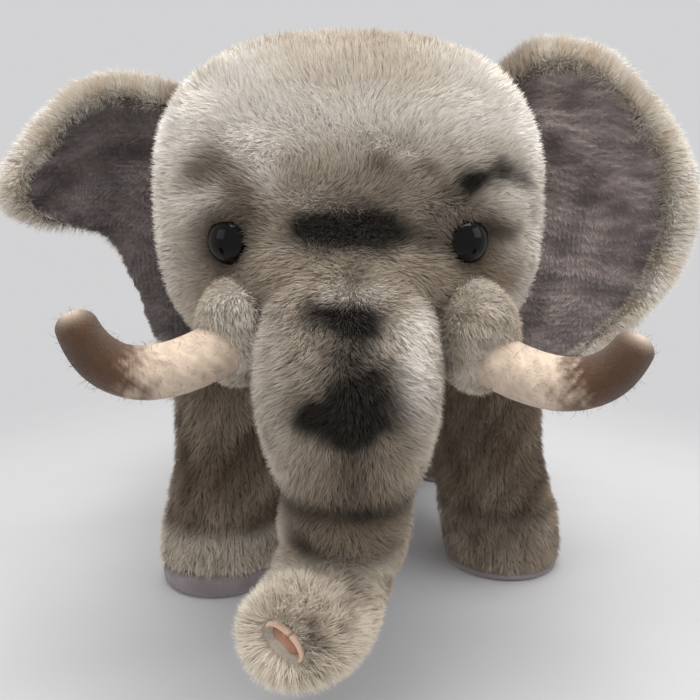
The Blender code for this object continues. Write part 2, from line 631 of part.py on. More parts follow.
clear_scene()
plush = material("plush", (0.50, 0.45, 0.37), 0.95)
velour = material("velour", (0.25, 0.22, 0.23), 0.9)
felt = material("felt", (0.80, 0.62, 0.47), 0.9)
long_pile = material("long_pile", (0.12, 0.09, 0.07), 0.9)
fibre = material("fibre_fill", (0.85, 0.85, 0.85), 1.0)
glass = material("eye_black", (0.01, 0.008, 0.008), 0.12)
white_plastic = material("washer_plastic", (0.8, 0.8, 0.78), 0.5)
origin = bpy.data.objects.new("toy_origin", None)
bpy.context.collection.objects.link(origin)
body_guide = make_torso()
head_guide = make_head(body_guide)
make_legs(body_guide, head_guide)
trunk_guide = make_trunk(head_guide)
make_tusks(head_guide, trunk_guide)
make_ears(head_guide)
make_tail(body_guide)
seat_on_floor()
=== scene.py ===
"""A standing stuffed elephant: pieced plush, lined ears, felt tusks and glossy safety eyes."""
import math
import bpy
import numpy as np
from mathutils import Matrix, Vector


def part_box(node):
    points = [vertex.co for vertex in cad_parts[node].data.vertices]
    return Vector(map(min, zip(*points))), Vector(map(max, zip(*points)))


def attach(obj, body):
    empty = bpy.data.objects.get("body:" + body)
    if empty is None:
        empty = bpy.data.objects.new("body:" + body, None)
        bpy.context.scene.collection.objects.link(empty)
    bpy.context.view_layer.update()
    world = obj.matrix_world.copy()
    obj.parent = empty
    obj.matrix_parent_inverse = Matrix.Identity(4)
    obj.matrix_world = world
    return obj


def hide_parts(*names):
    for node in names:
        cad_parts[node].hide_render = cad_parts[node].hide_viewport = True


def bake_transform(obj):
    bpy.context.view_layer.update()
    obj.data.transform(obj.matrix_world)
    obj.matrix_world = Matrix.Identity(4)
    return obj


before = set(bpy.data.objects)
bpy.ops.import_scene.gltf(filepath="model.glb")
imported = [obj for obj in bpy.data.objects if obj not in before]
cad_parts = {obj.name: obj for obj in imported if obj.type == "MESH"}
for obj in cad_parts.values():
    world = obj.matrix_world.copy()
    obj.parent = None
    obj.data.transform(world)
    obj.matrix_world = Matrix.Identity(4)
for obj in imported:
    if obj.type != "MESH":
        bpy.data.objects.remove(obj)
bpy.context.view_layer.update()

# ---- The room -------------------------------------------------------------------------------
# A round sheet of pale paper under the toy, in a pale room, lit by a broad soft lamp
# above, with a weaker one on each side. The viewer is close, a little above the toy's eyes.
MM = 0.001
PAPER_SOLID, PAPER_RADIUS = 0.17, 0.36
head_low, head_high = (np.array(corner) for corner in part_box("head_skin"))
HEAD_LENGTH = 84 * MM
head_middle = np.array([(head_low[0] + head_high[0]) / 2, head_high[1] - HEAD_LENGTH / 2,
                        (head_low[2] + head_high[2]) / 2])


def tone(red, green, blue):
    """A colour given as screen values from 0 to 255, turned into linear light."""
    shown = np.array([red, green, blue]) / 255
    return np.where(shown < 0.04045, shown / 12.92, ((shown + 0.055) / 1.055) ** 2.4)


def grid_mesh(name, grid, around=False):
    """A mesh over rows of points. With around, each row closes on itself, and the first and last
    rows close as a fan to their middle, which makes a solid."""
    rows, columns = grid.shape[:2]
    at = np.arange(rows * columns).reshape(rows, columns)
    right = np.roll(at, -1, axis=1) if around else at[:, 1:]
    left = at if around else at[:, :-1]
    cells = np.stack([left[:-1], right[:-1], right[1:], left[1:]], axis=-1).reshape(-1, 4).tolist()
    points = grid.reshape(-1, 3)
    if around:
        points = np.vstack([points, grid[0].mean(axis=0), grid[-1].mean(axis=0)])
        first, last = rows * columns, rows * columns + 1
        cells += np.stack([np.full(columns, first), right[0], left[0]], axis=1).tolist()
        cells += np.stack([np.full(columns, last), left[-1], right[-1]], axis=1).tolist()
    return new_piece(name, points.tolist(), cells, around)


def new_piece(name, points, faces, closed=False):
    """An object with these points and faces. A closed one that is inside out is turned right."""
    mesh = bpy.data.meshes.new(name)
    mesh.from_pydata(points, [], faces)
    if closed and signed_volume(mesh) < 0:
        mesh.flip_normals()
    mesh.shade_smooth()
    piece = bpy.data.objects.new(name, mesh)
    bpy.context.collection.objects.link(piece)
    return piece


def triangles_of(mesh):
    """The corners of the mesh's triangles, and each one's three points in an array."""
    mesh.calc_loop_triangles()
    corners = np.empty(len(mesh.loop_triangles) * 3, int)
    mesh.loop_triangles.foreach_get("vertices", corners)
    points = np.empty(len(mesh.vertices) * 3)
    mesh.vertices.foreach_get("co", points)
    corners, points = corners.reshape(-1, 3), points.reshape(-1, 3)
    return corners, points[corners]


def signed_volume(mesh):
    """The sum over triangles of a . (b x c) / 6: positive where faces point outwards."""
    a, b, c = np.moveaxis(triangles_of(mesh)[1], 1, 0)
    return (a * np.cross(b, c)).sum() / 6


class Dye:
    """A socket of a material. Arithmetic on it adds Math nodes, and node() adds any other node."""

    def __init__(self, tree, socket=None):
        self.tree, self.socket = tree, socket

    def node(self, kind, sockets, output=0, **settings):
        """A new node: its settings first, then the values or links of its sockets."""
        made = self.tree.nodes.new(kind)
        for name, value in settings.items():
            setattr(made, name, value)
        for name, value in sockets.items():
            if isinstance(value, Dye):
                self.tree.links.new(value.socket, made.inputs[name])
            else:
                made.inputs[name].default_value = value
        return Dye(self.tree, made.outputs[output])

    def maths(self, operation, first, second):
        """A Math node on two values."""
        return self.node("ShaderNodeMath", {0: first, 1: second}, operation=operation)

    def __add__(self, other):
        return self.maths("ADD", self, other)

    def __sub__(self, other):
        return self.maths("SUBTRACT", self, other)

    def __rsub__(self, other):
        return self.maths("SUBTRACT", other, self)

    def __mul__(self, other):
        return self.maths("MULTIPLY", self, other)

    __radd__, __rmul__ = __add__, __mul__

    def tint(self, color, share):
        """This colour mixed with another, by a share from 0 to 1."""
        return self.node("ShaderNodeMix", {0: share, 6: self, 7: color}, 2, data_type="RGBA")

    def noise(self, period, detail=3.0, rough=0.6):
        """Cloudy values about 0.5 that change over this length, read from object coordinates."""
        place = self.node("ShaderNodeTexCoord", {}, 3)
        return self.node("ShaderNodeTexNoise",
                         {"Vector": place, "Scale": 1 / period, "Detail": detail, "Roughness": rough})

    def bumps(self, height, depth):
        """A Bump node's normal, for a height field of this depth in metres."""
        return self.node("ShaderNodeBump", {"Height": height, "Distance": depth, "Strength": 1.0})


def finish(name, paint, **fixed):
    """A material. paint(dye) returns what is linked to the shader; fixed values are set on it."""
    made = bpy.data.materials.new(name)
    made.use_nodes = True
    shader = made.node_tree.nodes["Principled BSDF"]
    for socket, value in fixed.items():
        shader.inputs[socket.replace("_", " ")].default_value = value
    for socket, value in paint(Dye(made.node_tree)).items():
        made.node_tree.links.new(value.socket, shader.inputs[socket])
    return made


def paper_paint(dye):
    """Pale paper that thins out to nothing away from the toy, so that it has no edge."""
    place = dye.node("ShaderNodeTexCoord", {}, 3)
    away = dye.node("ShaderNodeVectorMath", {0: place}, 1, operation="LENGTH")
    limits = {"Value": away, 1: PAPER_SOLID, 2: PAPER_RADIUS, 3: 1.0, 4: 0.0}
    fade = dye.node("ShaderNodeMapRange", limits, interpolation_type="SMOOTHSTEP")
    plain = dye.node("ShaderNodeRGB", {})
    plain.socket.default_value = (*tone(209, 209, 210), 1)
    return {"Base Color": plain.tint((*tone(198, 198, 200), 1), dye.noise(0.1)), "Alpha": fade}


paper = finish("paper", paper_paint, Roughness=0.85)
turn = np.linspace(0, 2 * np.pi, 64, endpoint=False)
reach = np.linspace(0, PAPER_RADIUS, 24)[:, None]
disc = np.stack([reach * np.cos(turn), reach * np.sin(turn), 0 * reach * turn], axis=-1)
backdrop = grid_mesh("paper_sheet", disc[:, np.r_[0:64, 0]])
backdrop.data.materials.append(paper)


def lamp(name, place, aim, size, power, color):
    """A square soft lamp at place, turned to shine at aim."""
    light = bpy.data.lights.new(name, "AREA")
    light.shape, light.size, light.energy, light.color = "SQUARE", size, power, color
    made = bpy.data.objects.new(name, light)
    made.location = place
    made.rotation_euler = (Vector(aim) - Vector(place)).to_track_quat("-Z", "Y").to_euler()
    bpy.context.collection.objects.link(made)


lamp("lamp_above", (0.05, -0.15, 0.75), (0, 0, 0.08), 0.5, 4.7, (1.0, 0.99, 0.97))
lamp("lamp_left", (-0.7, -0.55, 0.45), (0, 0, 0.1), 0.5, 0.9, (1.0, 1.0, 1.0))
lamp("lamp_right", (0.75, -0.4, 0.5), (0, 0, 0.1), 0.5, 1.3, (1.0, 1.0, 1.0))
world = bpy.data.worlds.new("room")
bpy.context.scene.world = world
world.use_nodes = True
world.node_tree.nodes["Background"].inputs["Color"].default_value = (*tone(240, 240, 242), 1)
world.node_tree.nodes["Background"].inputs["Strength"].default_value = 0.745
bpy.context.scene.view_settings.view_transform = "Standard"

lens = bpy.data.cameras.new("viewer")
lens.lens, lens.sensor_width, lens.clip_start = 36, 36, 0.01
viewer = bpy.data.objects.new("viewer", lens)
viewer.location = (head_middle[0] + 0.5 * MM, head_middle[1] - 205 * MM, 130 * MM)
viewer.rotation_euler = (math.radians(80), 0, 0)
bpy.context.collection.objects.link(viewer)
bpy.context.scene.camera = viewer

# ---- The body -------------------------------------------------------------------------------
# The barrel of the toy: sewn plush, stuffed tight with fibre. The backing is a knitted cloth, and
# its pile of about 6 mm is combed towards the tail.
SILVER, CREAM, SAND = tone(252, 246, 238), tone(239, 228, 211), tone(211, 197, 178)
TAUPE, OLIVE, DUSK, SOOT = tone(175, 161, 144), tone(142, 124, 104), tone(104, 87, 73), tone(12, 10, 10)
ROOT_DEPTH, MIDDLE_SHARE = 0.4, 0.35
# A strand's middle is darkened by this factor as painted shade among the strands; its end is made lighter by
# the other.
MIDDLE_PAINTED_SHADE, END_SHADE = 0.92, 1.1


def rounded_box(middle, half, power, levels=72, around=112, along_y=False):
    """Rings of a superellipsoid: a ring's radius is cos(tilt)^(2/power), its height
    sin(tilt)^(2/power), and the ring itself is a superellipse of power 2.35."""
    tilt = np.pi * ((np.arange(levels) + 0.5) / levels - 0.5)
    angle = 2 * np.pi * np.arange(around) / around
    size, height = power_wave(np.cos(tilt), power), power_wave(np.sin(tilt), power)
    across, depth = power_wave(np.cos(angle), 2.35), power_wave(np.sin(angle), 2.35)
    rings = np.stack([size[:, None] * across, size[:, None] * depth,
                      np.repeat(height[:, None], around, axis=1)], axis=-1)
    if along_y:
        rings = rings[..., [0, 2, 1]]
    return rings * half + middle


def power_wave(wave, power):
    """|wave|^(2/power), with the wave's own sign."""
    return np.sign(wave) * np.abs(wave) ** (2 / power)


def inside(points, middle, half, power=2.4):
    """A superellipsoid's measure: below 1 inside it, and above 1 outside."""
    return (np.abs((points - middle) / half) ** power).sum(axis=-1) ** (1 / power)


def drift(points, period, seed):
    """Smooth wandering values from about -1 to 1: five sine waves in seeded directions, added."""
    chance = np.random.default_rng(seed)
    ways = chance.normal(size=(3, 5)) * 2 * np.pi / period / 1.7
    return np.sin(points @ ways + chance.uniform(0, 2 * np.pi, 5)).sum(axis=-1) / 2.6


def blot(points, middle, size):
    """A soft round spot: 1 at its middle, falling as a bell curve over its sizes along X, Y, Z."""
    return np.exp(-(((points - middle) / size) ** 2).sum(axis=-1))


def mixed(base, color, share):
    """Two colours, or arrays of them, mixed by a share for each point."""
    share = np.clip(share, 0, 1)[..., None]
    return base * (1 - share) + color * share


def smooth_normals(mesh):
    """The normal at each of the mesh's points: the mean of its faces' normals."""
    normals = np.empty(len(mesh.vertices) * 3)
    mesh.vertex_normals.foreach_get("vector", normals)
    return normals.reshape(-1, 3)


def unit(vectors):
    """Each vector divided by its length."""
    return vectors / np.maximum(np.linalg.norm(vectors, axis=-1), 1e-9)[..., None]


def store_dye(mesh, tones):
    """Keeps a colour for each of the mesh's points, for its material to read."""
    tones = np.concatenate([tones, np.ones((len(tones), 1))], axis=1)
    mesh.color_attributes.new("dye", "FLOAT_COLOR", "POINT").data.foreach_set(
        "color", tones.astype(np.float32).ravel())


def pile(name, skin, per_mm2, length, comb, color, lean=50, clump=2.4, width=0.26, keep=None,
         sow=None, wander=0.45, painted_shade=0.66, vary=0.08, draw=0.4):
    """Plush strands planted over a skin, as one mesh of narrow ribbons.

    Roots are spread by area, where keep(root, normal) or the skin's sow value for each vertex lets
    them. A strand starts near the skin's normal and bends by lean degrees towards the combed
    direction, wandering a little, and draw pulls its end towards the middle of its tuft, which is
    clump millimetres across. The colour runs from a root darkened as painted shade among the
    strands to a lighter end, and each strand varies a little."""
    seed = sum(map(ord, name))
    chance = np.random.default_rng(seed)
    corners, places = triangles_of(skin.data)
    area = np.linalg.norm(np.cross(places[:, 1] - places[:, 0], places[:, 2] - places[:, 0]), axis=1)
    count = int(area.sum() / 2 / MM**2 * per_mm2)
    pick = chance.choice(len(corners), count, p=area / area.sum())
    share = chance.dirichlet((1, 1, 1), count)[..., None]
    root = (places[pick] * share).sum(axis=1)
    normal = unit((smooth_normals(skin.data)[corners[pick]] * share).sum(axis=1))
    kept = (keep(root, normal) if keep else 1) > chance.random(count)
    if sow is not None:
        kept &= (sow[corners[pick]] * share[..., 0]).sum(axis=1) > chance.random(count)
    root, normal = root[kept], normal[kept]
    count = len(root)
    # The order of the strands follows their place, so that neighbours share a corner of the map.
    order = np.lexsort((root[:, 0], np.round(root[:, 2] / (3 * MM))))
    root, normal = root[order], normal[order]
    flow = comb(root)
    swirl = np.stack([drift(root, 16 * MM, seed + k) for k in range(3)], axis=1)
    flow = unit(unit(flow) + wander * swirl + 0.22 * chance.normal(size=(count, 3)))
    flow = unit(flow - (flow * normal).sum(axis=1)[:, None] * normal)
    bend = np.radians(lean + 9 * drift(root, 9 * MM, seed + 5) + 8 * chance.normal(size=count))
    reach = (length(root) if callable(length) else length) * MM * chance.uniform(0.72, 1.12, count)

    def heading(part):
        """The strand's direction after this part of its bend."""
        turned = np.clip(bend * part, 0.05, 1.45)[:, None]
        return np.cos(turned) * normal + np.sin(turned) * flow

    start = root - normal * ROOT_DEPTH * MM
    middle = start + heading(0.65) * reach[:, None] * 0.5
    end = middle + heading(1.35) * reach[:, None] * 0.5
    cell = np.floor((root / MM + 0.8 * swirl) / clump).astype(int)
    _, tuft = np.unique(cell @ (1, 4001, 16008001), return_inverse=True)
    tuft = tuft.ravel()
    size = np.bincount(tuft)
    heart = np.stack([np.bincount(tuft, root[:, k]) / size for k in range(3)], axis=1)[tuft] - root
    end += heart * draw
    middle += heart * draw * MIDDLE_SHARE
    roll = chance.uniform(-0.7, 0.7, count)[:, None]
    side = unit(np.cross(normal, flow))
    side = np.cos(roll) * side + np.sin(roll) * normal
    half = side * (width * MM / 2 * chance.uniform(0.7, 1.2, count))[:, None]
    points = np.stack([start - half, start + half, middle - half * 0.85, middle + half * 0.85, end], axis=1)
    faces = (np.array([[0, 1, 3], [0, 3, 2], [2, 3, 4]]) + 5 * np.arange(count)[:, None, None]).reshape(-1, 3)
    made = new_piece(name, points.reshape(-1, 3), faces)
    tones = color(root) * (1 + vary * chance.normal(size=count)).clip(0.6, 1.5)[:, None]
    # The root and middle are darkened as painted shade among the strands; the end is lighter.
    steps = np.array([painted_shade, painted_shade, MIDDLE_PAINTED_SHADE, MIDDLE_PAINTED_SHADE, END_SHADE])[None, :, None]
    store_dye(made.data, np.clip(tones[:, None] * steps, 0, 1).reshape(-1, 3))
    across = math.ceil(math.sqrt(count))
    cell_at = np.stack([np.arange(count) % across, np.arange(count) // across], axis=1)[:, None]
    spots = np.array([[0.1, 0.05], [0.9, 0.05], [0.1, 0.5], [0.9, 0.5], [0.5, 0.95]])[None]
    spots = (cell_at + spots)[:, [0, 1, 3, 0, 3, 2, 2, 3, 4]] / across
    made.data.uv_layers.new(name="OFBake").data.foreach_set("uv", spots.astype(np.float32).ravel())
    return made


def dyed(dye):
    """The colour that a mesh keeps at its points."""
    return dye.node("ShaderNodeAttribute", {}, attribute_name="dye")


def pile_paint(dye):
    """Dyed strands, each a little uneven along its length."""
    return {"Base Color": dyed(dye).tint((*TAUPE, 1), dye.noise(0.0011, 1.0) * 0.1)}


def backing_paint(dye):
    """Knitted backing that shows between strands: dark, partly a dusky knit and partly painted shade under
    the pile, with fine cloudy bumps.
    """
    wool = dye.noise(0.0006, 4.0)
    return {"Base Color": dyed(dye).tint((*(DUSK * 0.6), 1), wool * 0.4),
            "Normal": dye.bumps(wool, 0.0006)}


plush = finish("plush", pile_paint, Roughness=0.85, Sheen_Weight=0.12, Sheen_Roughness=0.45,
               Specular_IOR_Level=0.15)
backing = finish("plush_backing", backing_paint, Roughness=0.95, Specular_IOR_Level=0.1)


def wash(piece, color, painted_shade=0.8):
    """Dyes a surface: the colour worked out at each point, darkened by a factor as painted shade where the
    cloth lies under pile.
    """
    points = np.empty(len(piece.data.vertices) * 3)
    piece.data.vertices.foreach_get("co", points)
    store_dye(piece.data, np.clip(color(points.reshape(-1, 3)) * painted_shade, 0, 1))


def settle(piece, material, body=None, joint=None, nodes=()):
    """Gives a finished piece its material and its body, or for a piece on a joint bakes its place into its
    points; and hides the nodes it stands in for.
    """
    piece.data.materials.append(material)
    if nodes:
        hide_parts(*nodes)
    if joint:
        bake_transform(piece)
    else:
        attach(piece, body)


body_low, body_high = (np.array(corner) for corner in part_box("body_skin"))
body_middle, body_half = (body_low + body_high) / 2, (body_high - body_low) / 2
head_half = np.array([(head_high[0] - head_low[0]) / 2, HEAD_LENGTH / 2, (head_high[2] - head_low[2]) / 2])


def body_dye(points):
    """Taupe, lighter along the flanks and darker on the spine, with cloudy olive patches."""
    spine = np.clip((points[:, 2] - body_middle[2]) / body_half[2], -1, 1)
    color = mixed(TAUPE + 0 * points, SAND, 0.45 + 0.3 * drift(points, 40 * MM, 11))
    color = mixed(color, OLIVE, 0.55 * np.clip(spine, 0, 1) + 0.25 * drift(points, 22 * MM, 12))
    return mixed(color, CREAM, 0.5 * np.clip(-spine - 0.3, 0, 1))


def clear_of_head(points):
    """True outside the head's rounded box."""
    return inside(points, head_middle, head_half * 0.96) > 1


body_cloth = grid_mesh("body_plush", rounded_box(body_middle, body_half, 2.4, along_y=True), True)
wash(body_cloth, body_dye)
half_way = body_middle[1] - 6 * MM
to_tail = lambda points: np.array([0, 1, -0.35]) + 0.25 * (points - body_middle) / body_half
body_pile = {
    "body_pile_front": lambda p, n: clear_of_head(p) * (p[:, 1] < half_way),
    "body_pile_rear": lambda p, n: p[:, 1] >= half_way,
}
for name, where in body_pile.items():
    strands = pile(name, body_cloth, 1.15, 5.0, to_tail, body_dye, keep=where, width=0.46, lean=56, draw=0.3)
    settle(strands, plush, "toy")
settle(body_cloth, backing, "toy", nodes=("body_skin", "body_fill"))

# ---- The legs and soles -----------------------------------------------------------------------
# Four stuffed plush columns, sewn to the barrel. Each foot has a stitched line round the ankle and
# three short ones over the toes, and is closed by a short-pile sole.
LEG_LEAN = 0.15
LEG_HEIGHTS = [0, 0.04, 0.2, 0.42, 0.7, 0.9, 1]
LEG_RADII = [19.6, 21.2, 21.4, 20, 21.4, 21, 11]
ANKLE_LINE, SOLE_RIM = 26 * MM, 2.6 * MM
TOE_LINES, TOE_LINE_WIDTH = np.radians([-40, -16, 8]), 0.085
SOLE_THICK, SOLE_SLACK, SOLE_RADIUS = 2.2 * MM, 0.1 * MM, 22 * MM
VELOUR_GREY = tone(128, 118, 120)


def column(foot, lift, top, levels=64, around=80):
    """Rings up a leg: its middle leans in by a smooth step, and by a square above the thigh. Its radius
    narrows to the ankle, and stitched lines press into it. The lowest ring rises under the toes by lift."""
    height = np.linspace(0, 1, levels)[:, None] * top
    angle = 2 * np.pi * np.arange(around)[None] / around
    ease = np.clip(height / (60 * MM), 0, 1)
    shoulder = np.clip(height / (50 * MM) - 1.1, 0, 1)
    lean = 1 - LEG_LEAN * ease * ease * (3 - 2 * ease) - 0.3 * shoulder**2
    radius = np.interp(height / top, LEG_HEIGHTS, LEG_RADII) * MM
    press = np.exp(-(((height - ANKLE_LINE) / (2.0 * MM)) ** 2)) * 0.9 * MM
    front = np.exp(-(((height - 8 * MM) / (9 * MM)) ** 4))
    for line in TOE_LINES:
        apart = np.angle(np.exp(1j * (angle + np.pi / 2 - line)))
        press = press + 1.7 * MM * front * np.exp(-((apart / TOE_LINE_WIDTH) ** 2))
    radius = radius + 0 * angle - press
    shift = foot[0] - body_middle[0]
    rise = lift * (0.5 - 0.5 * np.sin(angle)) * np.clip(1 - height / (22 * MM), 0, 1)
    x = body_middle[0] + shift * lean + radius * np.cos(angle)
    y = foot[1] + radius * np.sin(angle)
    return np.stack([x, y, height + rise + SOLE_RIM], axis=-1)


def leg_dye(points):
    """Brown-taupe with a paler foot, cloudy, and darker along the ankle line as painted shade in its pressed
    crease.
    """
    color = mixed(TAUPE + 0 * points, OLIVE, 0.65 + 0.3 * drift(points, 30 * MM, 21))
    color = mixed(color, DUSK, 0.35 + 0.5 * drift(points, 14 * MM, 23))
    foot = np.clip(6 * (1.08 - points[:, 2] / (26 * MM)), 0, 1)
    color = mixed(color, CREAM, foot * np.where(points[:, 0] < body_middle[0], 0.62, 0.12))
    # Painted shade along the pressed crease of the ankle line.
    ankle_shade = np.exp(-(((points[:, 2] - ANKLE_LINE) / (3 * MM)) ** 2))
    return mixed(color, SOOT, 0.3 * ankle_shade + 0.1 * drift(points, 9 * MM, 22))


def velour_paint(dye):
    """Short velvety pile: the nap lies one way in patches, painted lighter and darker as sheen."""
    patches = dye.noise(0.007, 4.0)
    # Patches of painted sheen, lighter and darker.
    color = dyed(dye).tint((*tone(176, 168, 170), 1), patches * 0.7 - 0.12)
    return {"Base Color": color, "Normal": dye.bumps(dye.noise(0.0007, 4.0), 0.0005)}


velour = finish("velour", velour_paint, Roughness=0.75, Sheen_Weight=0.5, Sheen_Roughness=0.35,
                Specular_IOR_Level=0.2)
velour_dye = lambda points: VELOUR_GREY + 0 * points
downward = lambda points: np.array([0, 0, -1]) + 0 * points


def shows_on_leg(points, normal):
    """True outside the barrel and the head, times a share that thins the pile behind a leg."""
    off_the_barrel = inside(points, body_middle, body_half * 0.95) > 1
    outside = off_the_barrel & (inside(points, head_middle, head_half) > 1)
    return outside * np.clip(0.72 - 0.6 * normal[:, 1], 0.38, 1)


angle = 2 * np.pi * np.arange(72)[None] / 72
level = np.array([0, 0, 0.25, 0.7, 1.0, 1.0])[:, None]
disc = np.array([0.02, 0.9, 0.985, 1, 0.97, 0.02])[:, None] * SOLE_RADIUS
for place in ("front_left", "front_right", "hind_left", "hind_right"):
    sole_low, sole_high = (np.array(corner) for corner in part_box(f"sole_{place}"))
    foot = (sole_low + sole_high) / 2
    lift = max(sole_high[2] - SOLE_THICK - SOLE_SLACK, 0)
    leg_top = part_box(f"leg_{place}_skin")[1][2] - SOLE_RIM
    leg = grid_mesh(f"leg_{place}_plush", column(foot, lift, leg_top), True)
    wash(leg, leg_dye)
    per_mm2 = 3.7 if "front" in place else 2.2
    strands = pile(f"leg_{place}_pile", leg, per_mm2, 4.0, downward, leg_dye, lean=42, keep=shows_on_leg)
    settle(strands, plush, "toy")
    settle(leg, backing, "toy", nodes=(f"leg_{place}_skin", f"leg_{place}_fill"))
    rise = level * (2.4 * MM + lift * (0.5 - 0.5 * np.sin(angle) * disc / SOLE_RADIUS))
    sole_rings = np.stack([foot[0] + disc * np.cos(angle), foot[1] + disc * np.sin(angle), rise], axis=-1)
    sole = grid_mesh(f"sole_{place}_velour", sole_rings, True)
    wash(sole, velour_dye, 1.0)
    settle(sole, velour, "toy", nodes=(f"sole_{place}",))

# ---- The head ---------------------------------------------------------------------------------
# A boxy plush head with a high crown, sewn to the barrel and stuffed tight. The bridge of the nose
# stands out between the eyes, which sit in shallow sockets. Dark marks are airbrushed on the pile.
BRIDGE_RISE, BRIDGE_WIDTH, BRIDGE_DROP = 7 * MM, 44 * MM, 18 * MM
EYE_SPREAD, EYE_DROP, EYE_RADIUS = 57.5 * MM, 8 * MM, 6 * MM
PILE_ROOM = 2 * MM  # the cloth lies this far inside the head's box, under its pile
face_half = head_half - PILE_ROOM


def at_head(*place):
    """A point given in millimetres from the head's middle."""
    return head_middle + np.array(place) * MM


def face_depth(x, z):
    """The Y of the plain front of the head's box at x and z, both from the head's middle: the
    superellipsoid's formula, solved for its depth."""
    level = (1 - np.abs(z / face_half[2]) ** 2.8) ** (1 / 2.8)
    width = (1 - np.abs(x / face_half[0] / level) ** 2.35) ** (1 / 2.35)
    return head_middle[1] - face_half[1] * level * width


eyes = {}
for side, sign in (("left", 1), ("right", -1)):
    x, z, step = sign * EYE_SPREAD / 2, -EYE_DROP, 0.1 * MM
    slope_x = (face_depth(x + step, z) - face_depth(x - step, z)) / (2 * step)
    slope_z = (face_depth(x, z + step) - face_depth(x, z - step)) / (2 * step)
    seat = np.array([head_middle[0] + x, face_depth(x, z), head_middle[2] + z])
    eyes[side] = seat, unit(np.array([slope_x, -1, slope_z]))
head_rings = rounded_box(head_middle, face_half, 2.8, 84, 116)
x, y, z = np.moveaxis(head_rings - head_middle, -1, 0)
push = np.exp(-((2 * x / BRIDGE_WIDTH) ** 4) - ((z + BRIDGE_DROP) / (BRIDGE_DROP * 0.8)) ** 2)
head_rings[..., 1] -= BRIDGE_RISE * push * (y < 0)
for seat, out in eyes.values():
    socket = np.exp(-(np.linalg.norm(head_rings - seat, axis=-1) / (8.5 * MM)) ** 2)
    brow = blot(head_rings, seat + np.array([0, 0, 9 * MM]), np.array([12, 20, 4.5]) * MM)
    lid = blot(head_rings, seat - np.array([0, 0, 9 * MM]), np.array([9, 20, 4]) * MM)
    head_rings += (2.8 * MM * brow + 1.2 * MM * lid - 1.4 * MM * socket)[..., None] * out
head_cloth = grid_mesh("head_plush", head_rings, True)


def stroke(points, start, end, width):
    """A soft-edged line seen from the front, from start to end in millimetres across and up from the
    head's middle: exp(-d^2.2) of the distance from it in widths, made ragged by a fine drift.
    It fades out behind the front of the head."""
    flat = (points - head_middle)[:, [0, 2]] / MM
    start, along = np.array(start), np.array(end) - np.array(start)
    share = np.clip((flat - start) @ along / (along @ along), 0, 1)
    apart = np.linalg.norm(flat - start - share[:, None] * along, axis=1) / width
    facing = np.clip((head_middle[1] - points[:, 1]) / (12 * MM) - 1, 0, 1)
    return facing * np.exp(-((apart * (1 + 0.1 * drift(points, 3 * MM, 33))) ** 2.2))


def strokes(points, lines):
    """Strokes added up, each given as its strength, start, end and width."""
    return sum(strength * stroke(points, start, end, width) for strength, start, end, width in lines)


def marked(color, points, marks):
    """A colour with marks over it in turn, each a dye and its strokes."""
    for dye, *lines in marks:
        color = mixed(color, dye, strokes(points, lines))
    return color


# Painted highlights on the forehead and over the brows.
PAINTED_HIGHLIGHT_MARKS = (
    (SILVER, (0.7, (-18, 6), (-20, 12), 3.6)),
    (SILVER, (0.6, (-40, 1), (-29, 2.5), 3), (0.5, (33, 2), (43, 2), 3)),
    (CREAM, (0.5, (25, 14), (8, 26), 9)),
)
BROW_MARKS = (
    (DUSK, (0.7, (-34, 8), (-31, 10), 5), (0.75, (-25, 3), (-22, -2), 4.5)),
    (SOOT, (0.5, (19, -3), (27, 4.5), 4), (0.75, (27, 4.5), (35, 8.4), 2.9)),
    (SOOT, (0.7, (35, 8.4), (43, 6.4), 2.6)),
    (SOOT, (1, (-5, -5), (4, -4.8), 5.8), (0.8, (-10, -5.6), (10, -6.2), 3.2)),
    (SOOT, (0.6, (10, -6.4), (20, -8.4), 2.8)),
)
CHEEK_MARKS = (
    (DUSK * 0.4, (0.8, (33.5, -4.5), (38, -5.5), 2.8)),
    (OLIVE, (0.7, (33, -14), (38, -16), 5)),
    (SAND, (0.4, (-10, -16), (10, -16), 4.5)),
)


def head_dye(points):
    """Taupe in the middle of the face, with a dusky crown and dark strokes; the silver at its sides and over
    the forehead is painted highlight.
    """
    x, y, z = np.moveaxis((points - head_middle) / MM, -1, 0)
    cloud = drift(points, 26 * MM, 31)
    grain = drift(points, 5 * MM, 32)
    color = mixed(TAUPE + 0 * points, SAND, 0.4 + 0.3 * cloud + 0.12 * grain)
    color = mixed(color, OLIVE, 0.5 * np.clip((-6 - z) / 10, 0, 1))
    color = mixed(color, CREAM, np.clip((z - 7) / 12, 0, 1) * (0.75 + 0.2 * cloud))
    front = np.clip((8 - y) / 26, 0.15, 1)
    # The sides of the face lighten to silver as painted highlight, most towards the front.
    color = mixed(color, SILVER, 0.6 * np.clip((np.abs(x) - 30) / 18, 0, 1) * front + 0.1 * grain)
    # Painted highlights on the forehead, one at each side of the crown.
    color = mixed(color, SILVER, 0.9 * blot(points, at_head(-27, -32, 31), np.array([14, 30, 12]) * MM))
    color = mixed(color, SILVER, 0.8 * blot(points, at_head(30, -30, 33), np.array([12, 30, 9]) * MM))
    color = marked(color, points, PAINTED_HIGHLIGHT_MARKS)
    # A band of painted highlight across the forehead.
    color = mixed(color, SILVER, 0.85 * np.exp(-(((z - 20) / 10) ** 2)))
    color = mixed(color, OLIVE, 0.62 * np.clip((z - 35) / 6, 0, 1) * (0.75 + 0.25 * grain))
    color = mixed(color, OLIVE, (0.4 + 0.4 * grain) * stroke(points, (8, 9), (21, 6), 6.5))
    color = marked(color, points, BROW_MARKS)
    for seat, _ in eyes.values():
        ring = np.exp(-((np.linalg.norm(points - seat, axis=1) / MM / 8.5) ** 4))
        color = mixed(color, DUSK * 0.5, 0.9 * ring)
    return marked(color, points, CHEEK_MARKS)


